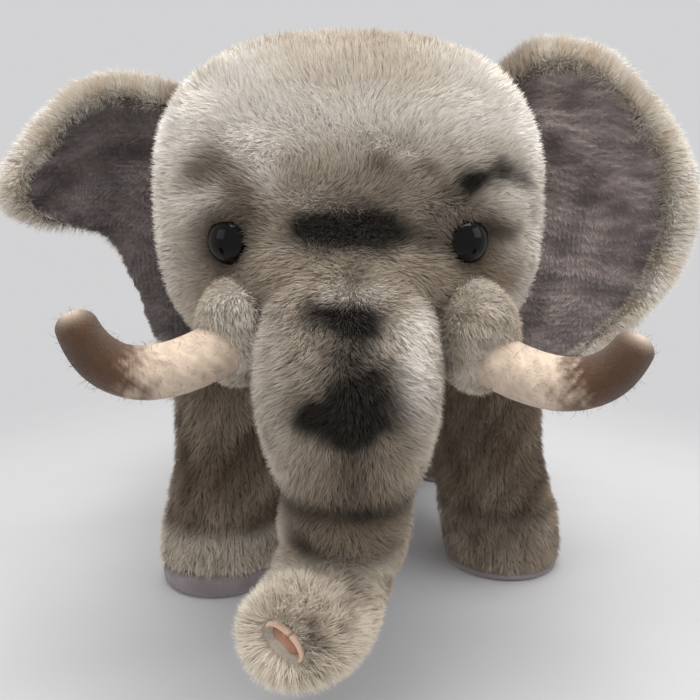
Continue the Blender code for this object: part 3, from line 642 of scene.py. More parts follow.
def head_pile_length(points):
    """Shorter near the eyes, longest on the crown."""
    away = np.min([np.linalg.norm(points - seat, axis=1) for seat, _ in eyes.values()], axis=0) / MM
    crown = np.clip((points[:, 2] - head_middle[2]) / face_half[2] - 0.6, 0, 0.4) * 3
    return 3.6 * np.clip((away - 2) / 8, 0.75, 1) + crown * 0.7


def from_the_nose(points):
    """The nap runs from the bridge of the nose out over the face, and then down the cheeks."""
    return points - at_head(0, -62, -14) + np.array([0, 0, -14 * MM])


def off_the_eyes(points):
    """True outside both eyes and the barrel."""
    clear = np.ones(len(points), bool)
    for seat, _ in eyes.values():
        clear &= np.linalg.norm(points - seat, axis=1) > EYE_RADIUS - 1.2 * MM
    return clear & (inside(points, body_middle, body_half * 0.97) > 1)


wash(head_cloth, head_dye)
face_back = head_middle[1] - 26 * MM
head_pile = {"head_pile_face": (lambda p: p[:, 1] < face_back, 8.6, 0.18),
             "head_pile_sides": (lambda p: p[:, 1] >= face_back, 2.25, 0.36)}
for name, (where, per_mm2, width) in head_pile.items():
    keep = lambda p, n, where=where: where(p) & off_the_eyes(p)
    strands = pile(name, head_cloth, per_mm2, head_pile_length, from_the_nose, head_dye, lean=34,
                   width=width, keep=keep, clump=1.7, draw=0.25, painted_shade=0.72, wander=0.65)
    settle(strands, plush, "toy")
settle(head_cloth, backing, "toy", nodes=("head_skin", "head_fill"))

# ---- The eyes ---------------------------------------------------------------------------------
# Domed safety eyes in glossy black-brown plastic, on a stem that a plastic washer locks inside.
EYE_SINK, EYE_HEIGHT = 1.5 * MM, 5 * MM


def gloss_paint(dye):
    """Near black, faintly brown in clouds."""
    black = dye.node("ShaderNodeRGB", {})
    black.socket.default_value = (*tone(4, 4, 5), 1)
    return {"Base Color": black.tint((*tone(14, 9, 7), 1), dye.noise(0.004))}


def washer_paint(dye):
    """Plain white plastic, a little uneven."""
    white = dye.node("ShaderNodeRGB", {})
    white.socket.default_value = (*tone(226, 226, 222), 1)
    return {"Base Color": white.tint((*tone(205, 205, 200), 1), dye.noise(0.002))}


eye_black = finish("eye_black", gloss_paint, Roughness=0.06, IOR=1.27)
washer_plastic = finish("washer_plastic", washer_paint, Roughness=0.5)
for side, (seat, out) in eyes.items():
    swing = np.linspace(np.pi / 2 - 0.02, -0.35, 26)[:, None]
    angle = 2 * np.pi * np.arange(64)[None] / 64
    across = unit(np.cross(out, (0, 0, 1)))
    up = np.cross(across, out)
    radius, height = EYE_RADIUS * np.cos(swing), EYE_HEIGHT * np.sin(swing)
    dome = (seat - out * EYE_SINK + across * (radius * np.cos(angle))[..., None]
            + up * (radius * np.sin(angle))[..., None] + out * (height + 0 * angle)[..., None])
    settle(grid_mesh(f"eye_{side}_dome", dome, True), eye_black, "toy", nodes=(f"eye_{side}",))
    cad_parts[f"eye_washer_{side}"].data.materials[0] = washer_plastic

# ---- The trunk --------------------------------------------------------------------------------
# One stuffed plush tube from the bridge of the nose, pinched by two sewn creases and curled forward
# at its end. Its cloth and its pile are each two pieces, which meet between the creases.
TRUNK_KEYS = [(0, 15, -19.5), (0, 5, -33.5), (0, -0.2, -49.5), (0, 1.5, -68.5), (-2.5, 1.5, -86.5),
              (-8, -9, -95.5), (-12.5, -21.5, -94)]
STEPS_TO_KEY, SPLIT, CAP_DEPTH = 40, 3.5, 3.4
TRUNK_PLACES = [0, 0.6, 1, 1.6, 2, 2.3, 2.6, 2.85, 3.0, 3.15, 3.5, 3.8, 4.0, 4.2, 4.5, 5, 5.6, 6]
TRUNK_RADII = [18, 19.8, 20.6, 20.8, 20, 18.4, 16.8, 15.2, 13.6, 14.6, 14.6, 13.9, 12.5, 12.9, 12.9, 12.7,
               12.2, 11.0]
trunk_keys = np.array([at_head(x, y - HEAD_LENGTH / MM / 2, z) for x, y, z in TRUNK_KEYS])


def curve(keys, at):
    """A Catmull-Rom curve through the keys: a cubic in each span, with the slope at a key taken
    from its two neighbours."""
    padded = np.concatenate([2 * keys[:1] - keys[1:2], keys, 2 * keys[-1:] - keys[-2:-1]])
    span = np.clip(at.astype(int), 0, len(keys) - 2)
    t = (at - span).reshape(-1, *[1] * (keys.ndim - 1))
    a, b, c, d = (padded[span + k] for k in range(4))
    return 0.5 * (2 * b + (c - a) * t + (2 * a - 5 * b + 4 * c - d) * t**2 + (3 * b - a - 3 * c + d) * t**3)


def tube(path, radius, around=80, side=(1, 0, 0), flat=1.0):
    """Rings square to a path: each is a circle of the given radius, flattened by flat."""
    flat = flat + 0 * radius
    tangent = unit(np.gradient(path, axis=0))
    wide = unit(np.array(side) - (tangent @ np.array(side))[:, None] * tangent)
    high = np.cross(tangent, wide)
    angle = 2 * np.pi * np.arange(around) / around
    return (path[:, None] + wide[:, None] * (radius[:, None] * np.cos(angle))[..., None]
            + high[:, None] * ((radius * flat)[:, None] * np.sin(angle))[..., None])


def trunk_radius(at):
    """The trunk's radius by key: full at the bulge, pinched at keys 3 and 4, and round at the end."""
    return np.interp(at, TRUNK_PLACES, TRUNK_RADII) * MM


# Dark strokes down the front of the trunk; the fourth, a short line across its top, is painted shade in the
# crease under the bridge of the nose.
NOSE_MARKS_AND_CREASE_SHADE = (
    (0.8, (1, -28), (-0.5, -43.5), 5.9), (0.85, (-8, -44.5), (3, -46), 3.2), (0.5, (1, -46), (1, -60), 4),
    (0.85, (-7, -23), (4, -24.5), 2.8), (0.5, (7, -36), (8, -44), 4), (0.3, (-10, -40), (10, -42), 7),
)
# Painted shade in the fold of the second crease, where the end curls forward.
FOLD_SHADE = ((1, (-12, -75), (0, -84), 3.8), (0.9, (0, -84), (7, -81), 3.3))
NOSE_SHINE = (
    (SILVER, (0.85, (14, -27), (13, -40), 4.5)),
    (SILVER, (0.5, (-4, -19.5), (6, -19.5), 2.2)),
)


def trunk_dye(points):
    """Sand with silver flanks as painted highlights, a long dark stroke down the front, creases darkened as
    painted shade, and a cream end.
    """
    z = (points[:, 2] - head_middle[2]) / MM
    x = (points[:, 0] - head_middle[0]) / MM
    cloud, grain = drift(points, 20 * MM, 41), drift(points, 4 * MM, 42)
    color = mixed(TAUPE + 0 * points, SAND, 0.35 + 0.3 * cloud + 0.15 * grain)
    # The flanks lighten to silver as painted highlight.
    color = mixed(color, SILVER, 0.35 * np.clip((np.abs(x - 1) - 9) / 10, 0, 1) + 0.08 * grain)
    color = mixed(color, OLIVE, 0.6 * np.clip((-46 - z) / 8, 0, 1) * np.clip(1.3 - np.abs(x) / 14, 0, 1))
    color = marked(color, points, NOSE_SHINE)
    front = np.clip((head_middle[1] - 46 * MM - points[:, 1]) / (6 * MM), 0, 1)
    middle = np.exp(-((x / 13) ** 2))
    color = mixed(color, SOOT, strokes(points, NOSE_MARKS_AND_CREASE_SHADE) * front)
    # The first crease, and below it the fold of the second, are darkened on the front as painted shade.
    crease = np.exp(-(((z + 67) / 4) ** 2)) * (0.5 + 0.5 * middle)
    color = mixed(color, SOOT, crease * (points[:, 1] < head_middle[1] - 40 * MM))
    color = mixed(color, SOOT, 0.95 * strokes(points, FOLD_SHADE) * front)
    color = mixed(color, OLIVE, 0.5 * stroke(points, (-4, -72), (6, -77), 6))
    forward = -(points[:, 1] - trunk_keys[5, 1]) / MM
    ball = np.clip((forward + 5) / 6, 0, 1) * np.clip((-78 - z) / 5, 0, 1)
    color = mixed(color, CREAM, ball * 0.85)
    speckle = np.clip(0.5 + 0.9 * drift(points, 2.6 * MM, 43), 0, 1)
    return mixed(color, OLIVE, ball * speckle * 0.75 * stroke(points, (-7, -89.5), (-1, -89), 4.5))


along = np.linspace(0, 6, 6 * STEPS_TO_KEY + 1)
whole = curve(trunk_keys, along)
upper = along <= SPLIT + 0.05
lower = along >= SPLIT - 0.05
trunk_end, trunk_aim = whole[-1], unit(whole[-1] - whole[-8])
cap_share = np.linspace(0, 0.995, 24)
cap = np.sqrt(1 - cap_share**2)
end_path = trunk_end + trunk_aim * (cap_share[1:, None] * CAP_DEPTH * MM)
end_path = np.vstack([whole[lower], end_path])
end_radius = np.concatenate([trunk_radius(along[lower]), trunk_radius(6.0) * cap[1:] ** 0.55])
upper_rings = tube(whole[upper], trunk_radius(along[upper]))
lower_rings = tube(end_path, end_radius, flat=np.interp(np.arange(len(end_path)), [20, 60], [1, 0.84]))

# The slot at the trunk's end: an oval dent, set slanting, on the felt's place along the slot.
SLOT_TILT, SLOT_DEPTH = math.radians(-40), 2.6 * MM
nostril_low, nostril_high = (np.array(corner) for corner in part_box("nostril_felt"))
slot_across = unit(np.array([1, 0, 0]) - trunk_aim[0] * trunk_aim)
slot_up = np.cross(slot_across, trunk_aim) * -1
slot_long = math.cos(SLOT_TILT) * slot_across + math.sin(SLOT_TILT) * slot_up
slot_wide = np.cross(trunk_aim, slot_long)
felt_shift = ((nostril_low + nostril_high) / 2 - trunk_end) @ slot_long
slot_middle = trunk_end + trunk_aim * CAP_DEPTH * MM + felt_shift * slot_long


def in_slot(points, length, width):
    """An ellipse's measure about the slot's middle: 0 there, 1 at the edge, and more outside."""
    from_middle = points - slot_middle
    return np.hypot(from_middle @ slot_long / (length * MM / 2), from_middle @ slot_wide / (width * MM / 2))


dent = np.clip(1.25 - in_slot(lower_rings, 10.5, 5.6), 0, 1)
dent = dent * dent * (3 - 2 * dent) * ((lower_rings - trunk_end) @ trunk_aim > -4 * MM)
lower_rings = lower_rings - (dent * SLOT_DEPTH)[..., None] * trunk_aim
trunk_upper_cloth = grid_mesh("trunk_upper_plush", upper_rings, True)
trunk_lower_cloth = grid_mesh("trunk_lower_plush", lower_rings, True)
for piece in (trunk_upper_cloth, trunk_lower_cloth):
    wash(piece, trunk_dye)

trunk_slope = unit(np.gradient(whole, axis=0))
bend_at, curl_at = trunk_keys[3], trunk_keys[4]
bend_reach = np.array([0, 0, 6 * MM])
bend_join = ("toy", "trunk_middle", bend_at + bend_reach, bend_at - bend_reach)
curl_reach = unit(trunk_slope[4 * STEPS_TO_KEY] + np.array([0, -0.2, 0])) * 5 * MM
curl_join = ("trunk_middle", "trunk_tip", curl_at - curl_reach, curl_at + curl_reach)


def down_the_trunk(points):
    """Down, and out from the middle of the front."""
    spread = (points - at_head(0, -48, -30)) * np.array([1.6, 0.4, 0])
    return spread / MM / 18 + np.array([0, 0, -1])


def out_of_slot(points):
    """Down the trunk, turning to fan out from the slot at the curled end."""
    tip_share = np.clip((trunk_keys[5, 1] + 4 * MM - points[:, 1]) / (8 * MM), 0, 1)[:, None]
    fan = unit(points - trunk_end - trunk_aim * 3 * MM)
    return (1 - tip_share) * unit(down_the_trunk(points)) + tip_share * fan


def tip_length(points):
    """3.5 mm of pile, growing by 1 mm over the curled end."""
    return 3.5 + 1.0 * np.clip((trunk_keys[5, 1] + 6 * MM - points[:, 1]) / (10 * MM), 0, 1)


def above_the_split(points, normal):
    """True outside the head, and above the height where the lower cloth takes over."""
    outside = inside(points, head_middle, face_half * np.array([1, 1, 0.97])) > 0.98
    return outside & (points[:, 2] > whole[round(SPLIT * STEPS_TO_KEY), 2])


def off_the_slot(points, normal):
    """True outside the slot's oval, and everywhere away from the trunk's end."""
    return (in_slot(points, 11.2, 6.2) > 1) | ((points - trunk_end) @ trunk_aim < -8 * MM)


upper_pile = pile("trunk_upper_pile", trunk_upper_cloth, 8.9, 3.7, down_the_trunk, trunk_dye, lean=34,
                  keep=above_the_split, width=0.17, clump=1.7, draw=0.25, painted_shade=0.72)
lower_pile = pile("trunk_lower_pile", trunk_lower_cloth, 12.4, tip_length, out_of_slot, trunk_dye, lean=36,
                  keep=off_the_slot, width=0.16, clump=2.2)
settle(upper_pile, plush, joint=bend_join)
settle(lower_pile, plush, joint=curl_join)
settle(trunk_upper_cloth, backing, joint=bend_join,
       nodes=("trunk_upper_skin", "trunk_upper_fill", "trunk_middle_skin", "trunk_middle_fill"))
settle(trunk_lower_cloth, backing, joint=curl_join,
       nodes=("trunk_tip_skin", "trunk_tip_fill"))

# ---- The nostril ------------------------------------------------------------------------------
# A slanting slot in the trunk's end, lined with pink-brown felt, with a paler felt lip round its
# upper side. The pile is clipped away round it.
UMBER, LIP_PINK, PAD_PINK = tone(98, 70, 50), tone(246, 208, 184), tone(206, 150, 124)
PAD_LONG, PAD_WIDE, PAD_SINK = 4.9, 2.4, 1.5
LIP_LONG, LIP_WIDE, LIP_THICK = 5.1, 2.6, 0.85


def felt_paint(dye):
    """Felted wool: tangled short fibres, a little darker in their gaps."""
    wool = dye.noise(0.0005, 5.0, 0.7)
    return {"Base Color": dyed(dye).tint((*(UMBER * 0.9), 1), wool * 0.3 - 0.08),
            "Normal": dye.bumps(wool, 0.0005)}


felt = finish("felt", felt_paint, Roughness=0.9, Sheen_Weight=0.3, Specular_IOR_Level=0.2)
angle = 2 * np.pi * np.arange(48)[None] / 48
share = np.array([0.02, 0.3, 0.6, 0.85, 1.0, 1.0, 0.02])[:, None]
bulge = np.array([0.9, 0.8, 0.5, 0.1, -0.4, -1.6, -1.6])[:, None] + 0 * angle
pad_middle = slot_middle - trunk_aim * PAD_SINK * MM
pad_rings = pad_middle + (share * np.cos(angle) * PAD_LONG * MM)[..., None] * slot_long
pad_rings = pad_rings + (share * np.sin(angle) * PAD_WIDE * MM)[..., None] * slot_wide
pad_rings = pad_rings + (bulge * MM)[..., None] * trunk_aim
pad = grid_mesh("nostril_pad", pad_rings, True)
wash(pad, lambda p: mixed(PAD_PINK + 0 * p, UMBER, np.clip(in_slot(p, 9.8, 4.8) - 0.5, 0, 1)), 1.0)
settle(pad, felt, joint=curl_join, nodes=("nostril_felt",))
turn = np.linspace(-0.25, np.pi + 0.25, 40)
upward = np.sign(slot_wide[2])
arc = (slot_middle + np.cos(turn)[:, None] * slot_long * LIP_LONG * MM
       + np.sin(turn)[:, None] * slot_wide * upward * LIP_WIDE * MM + trunk_aim * 0.1 * MM)
lip_radius = LIP_THICK * MM * np.sin(np.linspace(0.1, np.pi - 0.1, 40)) ** 0.6
lip = grid_mesh("nostril_lip", tube(arc, lip_radius, 20, side=tuple(slot_long + 0.01)), True)
wash(lip, lambda p: LIP_PINK + 0 * p, 1.0)
settle(lip, felt, joint=curl_join)

# ---- The cheek sleeves ------------------------------------------------------------------------
# Short plush sleeves beside the trunk, lightly stuffed. Each is turned under round a tusk's root.
SLEEVE_START = (23, -14, -23.5)
SLEEVE_ENDS = {"left": (33.5, -42, -33.5), "right": (28.5, -39.5, -32)}
SLEEVE_PLACES, SLEEVE_RADII = [0, 0.1, 0.5, 0.8, 0.92, 0.98, 1], [4, 8.2, 9.0, 9.0, 8.4, 7.2, 5.8]


def sleeve_dye(points):
    """Cream-olive, with a brown ring where the tusk comes out and painted shade in the crease beside the
    trunk.
    """
    x = np.abs(points[:, 0] - head_middle[0]) / MM
    y = (points[:, 1] - head_middle[1]) / MM
    color = mixed(CREAM + 0 * points, SILVER, 0.3 + 0.25 * drift(points, 12 * MM, 51))
    color = mixed(color, OLIVE, 0.4 * np.clip((-y - 39) / 5, 0, 1) + 0.15 * drift(points, 4 * MM, 52))
    # Painted shade in the crease where the sleeve lies against the trunk.
    return mixed(color, DUSK * 0.7, 0.75 * np.exp(-(((x - 18) / 3.5) ** 2)))


share = np.linspace(0, 1, 40)
for side, sign in (("left", 1), ("right", -1)):
    mirror = np.array([sign, 1, 1])
    first = at_head(*(np.array(SLEEVE_START) * mirror))
    last = at_head(*(np.array(SLEEVE_ENDS[side]) * mirror))
    path = first + (last - first) * share[:, None]
    size = np.interp(share, SLEEVE_PLACES, SLEEVE_RADII) * MM
    sleeve = grid_mesh(f"sleeve_{side}_plush", tube(path, size, 72, flat=1.45), True)
    wash(sleeve, sleeve_dye)
    to_tusk = lambda points, way=last - first: 0.7 * unit(way) + np.array([0, 0, -0.5]) + 0 * points
    clear = lambda p, n: inside(p, head_middle, face_half * 0.97, 2.8) > 1
    fur = pile(f"sleeve_{side}_pile", sleeve, 10.2, 3.0, to_tusk, sleeve_dye, lean=40, keep=clear, width=0.17,
               clump=1.7, painted_shade=0.92)
    settle(fur, plush, "toy")
    settle(sleeve, backing, "toy", nodes=(f"cheek_sleeve_{side}",))

# ---- The tusks --------------------------------------------------------------------------------
# Tusks of pressed wool felt over fibre, curving up. The felt is airbrushed brown at the end, worn
# pale at the tip, and fine loose hairs cling to it.
TUSKS = {"left": (1, (19, -18, -25), (36, -44, -40), (55, -51, -47), (62.5, -54, -31)),
         "right": (-1, (18, -18, -24), (32, -43, -37.5), (53, -51, -45.5), (59, -54, -26))}
TUSK_PLACES, TUSK_RADII = [0, 0.25, 0.6, 0.85, 1], [6.6, 6.9, 6.4, 5.5, 4.6]
PEACH, TUSK_CAP, DYE_STEP = tone(255, 232, 208), 3.6, 3


def hair_paint(dye):
    """Loose fibres, brown in part."""
    return {"Base Color": dyed(dye).tint((*UMBER, 1), dye.noise(0.002) * 0.3)}


wool_hair = finish("wool_hair", hair_paint, Roughness=0.7, Specular_IOR_Level=0.2)


def tusk_dye(points, path):
    """Peach, browned over the outer part of the curve, with a pale worn cap. The place along
    the curve is the average of its shares from 0 to 1, each weighted by exp(-(distance/5 mm)^2)."""
    coarse = path[::DYE_STEP]
    close = np.exp(-((np.linalg.norm(points[:, None] - coarse, axis=2) / (5 * MM)) ** 2))
    near = close @ np.linspace(0, 1, len(coarse)) / (close.sum(axis=1) + 1e-12)
    near = near + 0.03 * drift(points, 5 * MM, 61) + 0.03 * drift(points, 1.6 * MM, 64)
    color = mixed(PEACH + 0 * points, PEACH * 0.82, 0.5 + 0.5 * drift(points, 3 * MM, 62))
    color = mixed(color, UMBER * 1.3, np.clip((near - 0.5) / 0.14, 0, 1))
    color = mixed(color, UMBER * 0.9, np.clip((near - 0.58) / 0.16, 0, 1))
    color = color * (1 + 0.09 * drift(points, 0.9 * MM, 65) + 0.07 * drift(points, 4 * MM, 66))[:, None]
    below, root_stain = path[-16] - np.array([0, 0, 5 * MM]), path[42] + np.array([0, -3, -5]) * MM
    color = mixed(color, UMBER * 0.55, 0.7 * blot(points, below, 7 * MM))
    color = mixed(color, UMBER, 0.55 * blot(points, root_stain, 3.2 * MM))
    return mixed(color, PEACH, 0.95 * blot(points, path[-1] + np.array([0, -1, 1]) * MM, 3.0 * MM))


def tangled(points):
    """No nap: the fibres lie every way."""
    return np.stack([drift(points, 1.7 * MM, 63 + k) for k in range(3)], axis=1)


hair_dye = lambda points: UMBER * 0.6 + 0 * points
for side, (sign, *keys) in TUSKS.items():
    a, b, c, d = (at_head(sign * x, y, z) for x, y, z in keys)
    t = np.linspace(0, 1, 70)[:, None]
    path = (1 - t) ** 3 * a + 3 * (1 - t) ** 2 * t * b + 3 * (1 - t) * t**2 * c + t**3 * d
    size = np.interp(t[:, 0], TUSK_PLACES, TUSK_RADII) * MM
    rounding = np.sin(np.linspace(0, np.pi / 2, 14)[1:-1])
    path = np.vstack([path, path[-1] + unit(path[-1] - path[-2]) * (rounding[:, None] * TUSK_CAP * MM)])
    size = np.concatenate([size, size[-1] * np.sqrt(1 - rounding**2)])
    felt_dye = lambda points, path=path: tusk_dye(points, path)
    nap_dye = lambda points, path=path: tusk_dye(points, path) * 1.05
    tusk = grid_mesh(f"tusk_{side}_felt", tube(path, size, 56), True)
    wash(tusk, felt_dye, 0.95)
    nap = pile(f"tusk_{side}_nap", tusk, 5.0, 0.8, tangled, nap_dye, lean=62, width=0.11, clump=1.0,
               painted_shade=0.95)
    hairs = pile(f"tusk_{side}_hairs", tusk, 0.28, 3.4, tangled, hair_dye, lean=58, width=0.06, clump=9.0,
                 draw=0.1, painted_shade=1.0)
    settle(nap, felt, "toy")
    settle(hairs, wool_hair, "toy")
    settle(tusk, felt, "toy", nodes=(f"tusk_felt_{side}", f"tusk_fill_{side}"))

# ---- The ears ---------------------------------------------------------------------------------
# Each ear is a plush back sewn to a velour lining and turned, so its furry edge rolls forward round
# the lining. It is sewn into the head's side along its root. The right ear's lower half is folded.
EAR_NETS = {
    "left": (
        ((-4, -17, 43.5), (4, -21, 49), (14, -27, 48.5), (24, -32, 43)),
        ((-3.5, -17, 28), (10, -21, 34), (25, -27, 35), (38, -33, 29)),
        ((-3, -17, 11), (14, -21, 15), (32, -27, 15), (48.5, -34, 11)),
        ((-3, -17, -5.5), (15, -21, -5.5), (32, -26, -7.5), (49, -34, -9.5)),
        ((-2.5, -17, -21.5), (13, -22, -25.5), (26, -28, -28.5), (38, -34, -29.5)),
        ((-2, -17, -37.5), (2, -22, -44.5), (6, -26, -51.5), (12, -31, -53.5)),
    ),
    "right": (
        ((-6, -17, 33.5), (4, -22, 37.5), (16, -29, 38.5), (26, -35, 34.5)),
        ((-5.5, -17, 22.5), (8, -22, 26.5), (24, -28, 27.5), (38, -36, 23.5)),
        ((-5, -17, 12.5), (11, -22, 15.5), (30, -29, 15.5), (48, -40, 5.5)),
        ((-4.5, -17, 3.5), (11, -22, 4.5), (28, -27, 2.5), (41, -34, -3)),
        ((-4, -17, -5.5), (6, -21, -5.5), (17, -23, -4.5), (26, -24, -4.5)),
        ((-4, -17, -15.5), (5, -20, -16.5), (14, -19, -15.5), (20, -10, -15.5)),
        ((-3.5, -17, -26.5), (4, -19.5, -28.5), (11, -17, -29.5), (15, -6, -30.5)),
        ((-3, -17, -38.5), (2, -20, -42.5), (7, -19, -43.5), (10, -11, -43.5)),
    ),
}
EDGE_PLACES = (0, 0.25, 0.43, 0.62, 0.82, 1)
EDGE_WIDTHS = {"left": (8.5, 9, 8.5, 7, 4.5, 2.5), "right": (7.5, 8, 2.6, 2.2, 2.2, 2.2)}
ROLL_SHARE, ROLL_MOST, BACK_BULGE = 0.42, 3.6, 2.4
LINING_TOP, LINING_FOOT = 0.065, 0.97
# Each lining's fold by its slant, ridge and step, then its padding, and its nap's density.
LININGS = {"left": (0.52, 2.0, 1.8, 0.9, 8.0), "right": (0.3, -2.2, 0.6, 2.3, 9.0)}
ROOT_ROW = 36
# One mauve velour lines both ears; it is painted lighter in the left ear and darker in the right, as painted
# light and shade.
LIT_AND_SHADED_MAUVE = {"left": tone(160, 146, 142), "right": tone(100, 89, 84)}


def net_sheet(net, rows, columns):
    """A smooth sheet through a net: curves along the net's rows, then curves down its columns."""
    across = np.array([curve(row, np.linspace(0, len(row) - 1, columns)) for row in net])
    return curve(across, np.linspace(0, len(net) - 1, rows))


def slab(name, front, back):
    """A closed sheet between two grids of points, joined round their edge."""
    rows, columns, _ = front.shape
    at = np.arange(rows * columns).reshape(rows, columns)
    other = rows * columns
    cells = np.stack([at[:-1, :-1], at[:-1, 1:], at[1:, 1:], at[1:, :-1]], axis=-1).reshape(-1, 4)
    edge = np.concatenate([at[0, :-1], at[:-1, -1], at[-1, :0:-1], at[:0:-1, 0]])
    after = np.roll(edge, -1)
    rim = np.stack([after, edge, edge + other, after + other], axis=1)
    points = np.vstack([front.reshape(-1, 3), back.reshape(-1, 3)])
    return new_piece(name, points.tolist(), np.vstack([cells, cells[:, ::-1] + other, rim]).tolist(), True)


def lengths_along(sheet, axis):
    """How far each point of a grid is from the grid's first row or column, measured over the grid."""
    steps = np.linalg.norm(np.diff(sheet, axis=axis), axis=-1)
    return np.cumsum(np.insert(steps, 0, 0, axis=axis), axis=axis)


def cloth_area(sheet):
    """The area of a grid: the cross product of each cell's two sides, added up."""
    cells = np.linalg.norm(np.cross(np.diff(sheet, axis=0)[:, :-1], np.diff(sheet, axis=1)[:-1]), axis=-1)
    return cells.sum()


def ear_dye(points):
    """Cream, cloudy with silver and sand, and dusky towards the root."""
    color = mixed(CREAM + 0 * points, SAND, 0.2 + 0.3 * drift(points, 18 * MM, 71))
    out = np.abs(points[:, 0] - head_middle[0]) / MM
    color = mixed(color, SILVER, 0.5 + 0.35 * drift(points, 8 * MM, 72))
    return mixed(color, TAUPE, 0.6 * np.clip((60 - out) / 8, 0, 1))


def lining_dye(points):
    """Grey-mauve velour, lighter in the left ear and darker in the right, streaked with painted sheen where
    the nap turns, cloudy with painted shade, and darker near the root as painted shade where the ear meets
    the head.
    """
    out = np.abs(points[:, 0] - head_middle[0]) / MM
    mauve = np.where(points[:, :1] > head_middle[0], LIT_AND_SHADED_MAUVE["left"], LIT_AND_SHADED_MAUVE["right"])
    # Streaks of painted sheen where the nap turns, then cloudy painted shade.
    color = mixed(mauve, np.minimum(mauve * 2.2, 0.8), 0.32 + 0.65 * drift(points, 2.2 * MM, 73))
    color = mixed(color, mauve * 0.5, 0.25 + 0.55 * drift(points, 8 * MM, 74))
    # Painted shade near the root, where the ear meets the head.
    return mixed(color, mauve * 0.25, 0.9 * np.clip((59 - out) / 8, 0, 1))


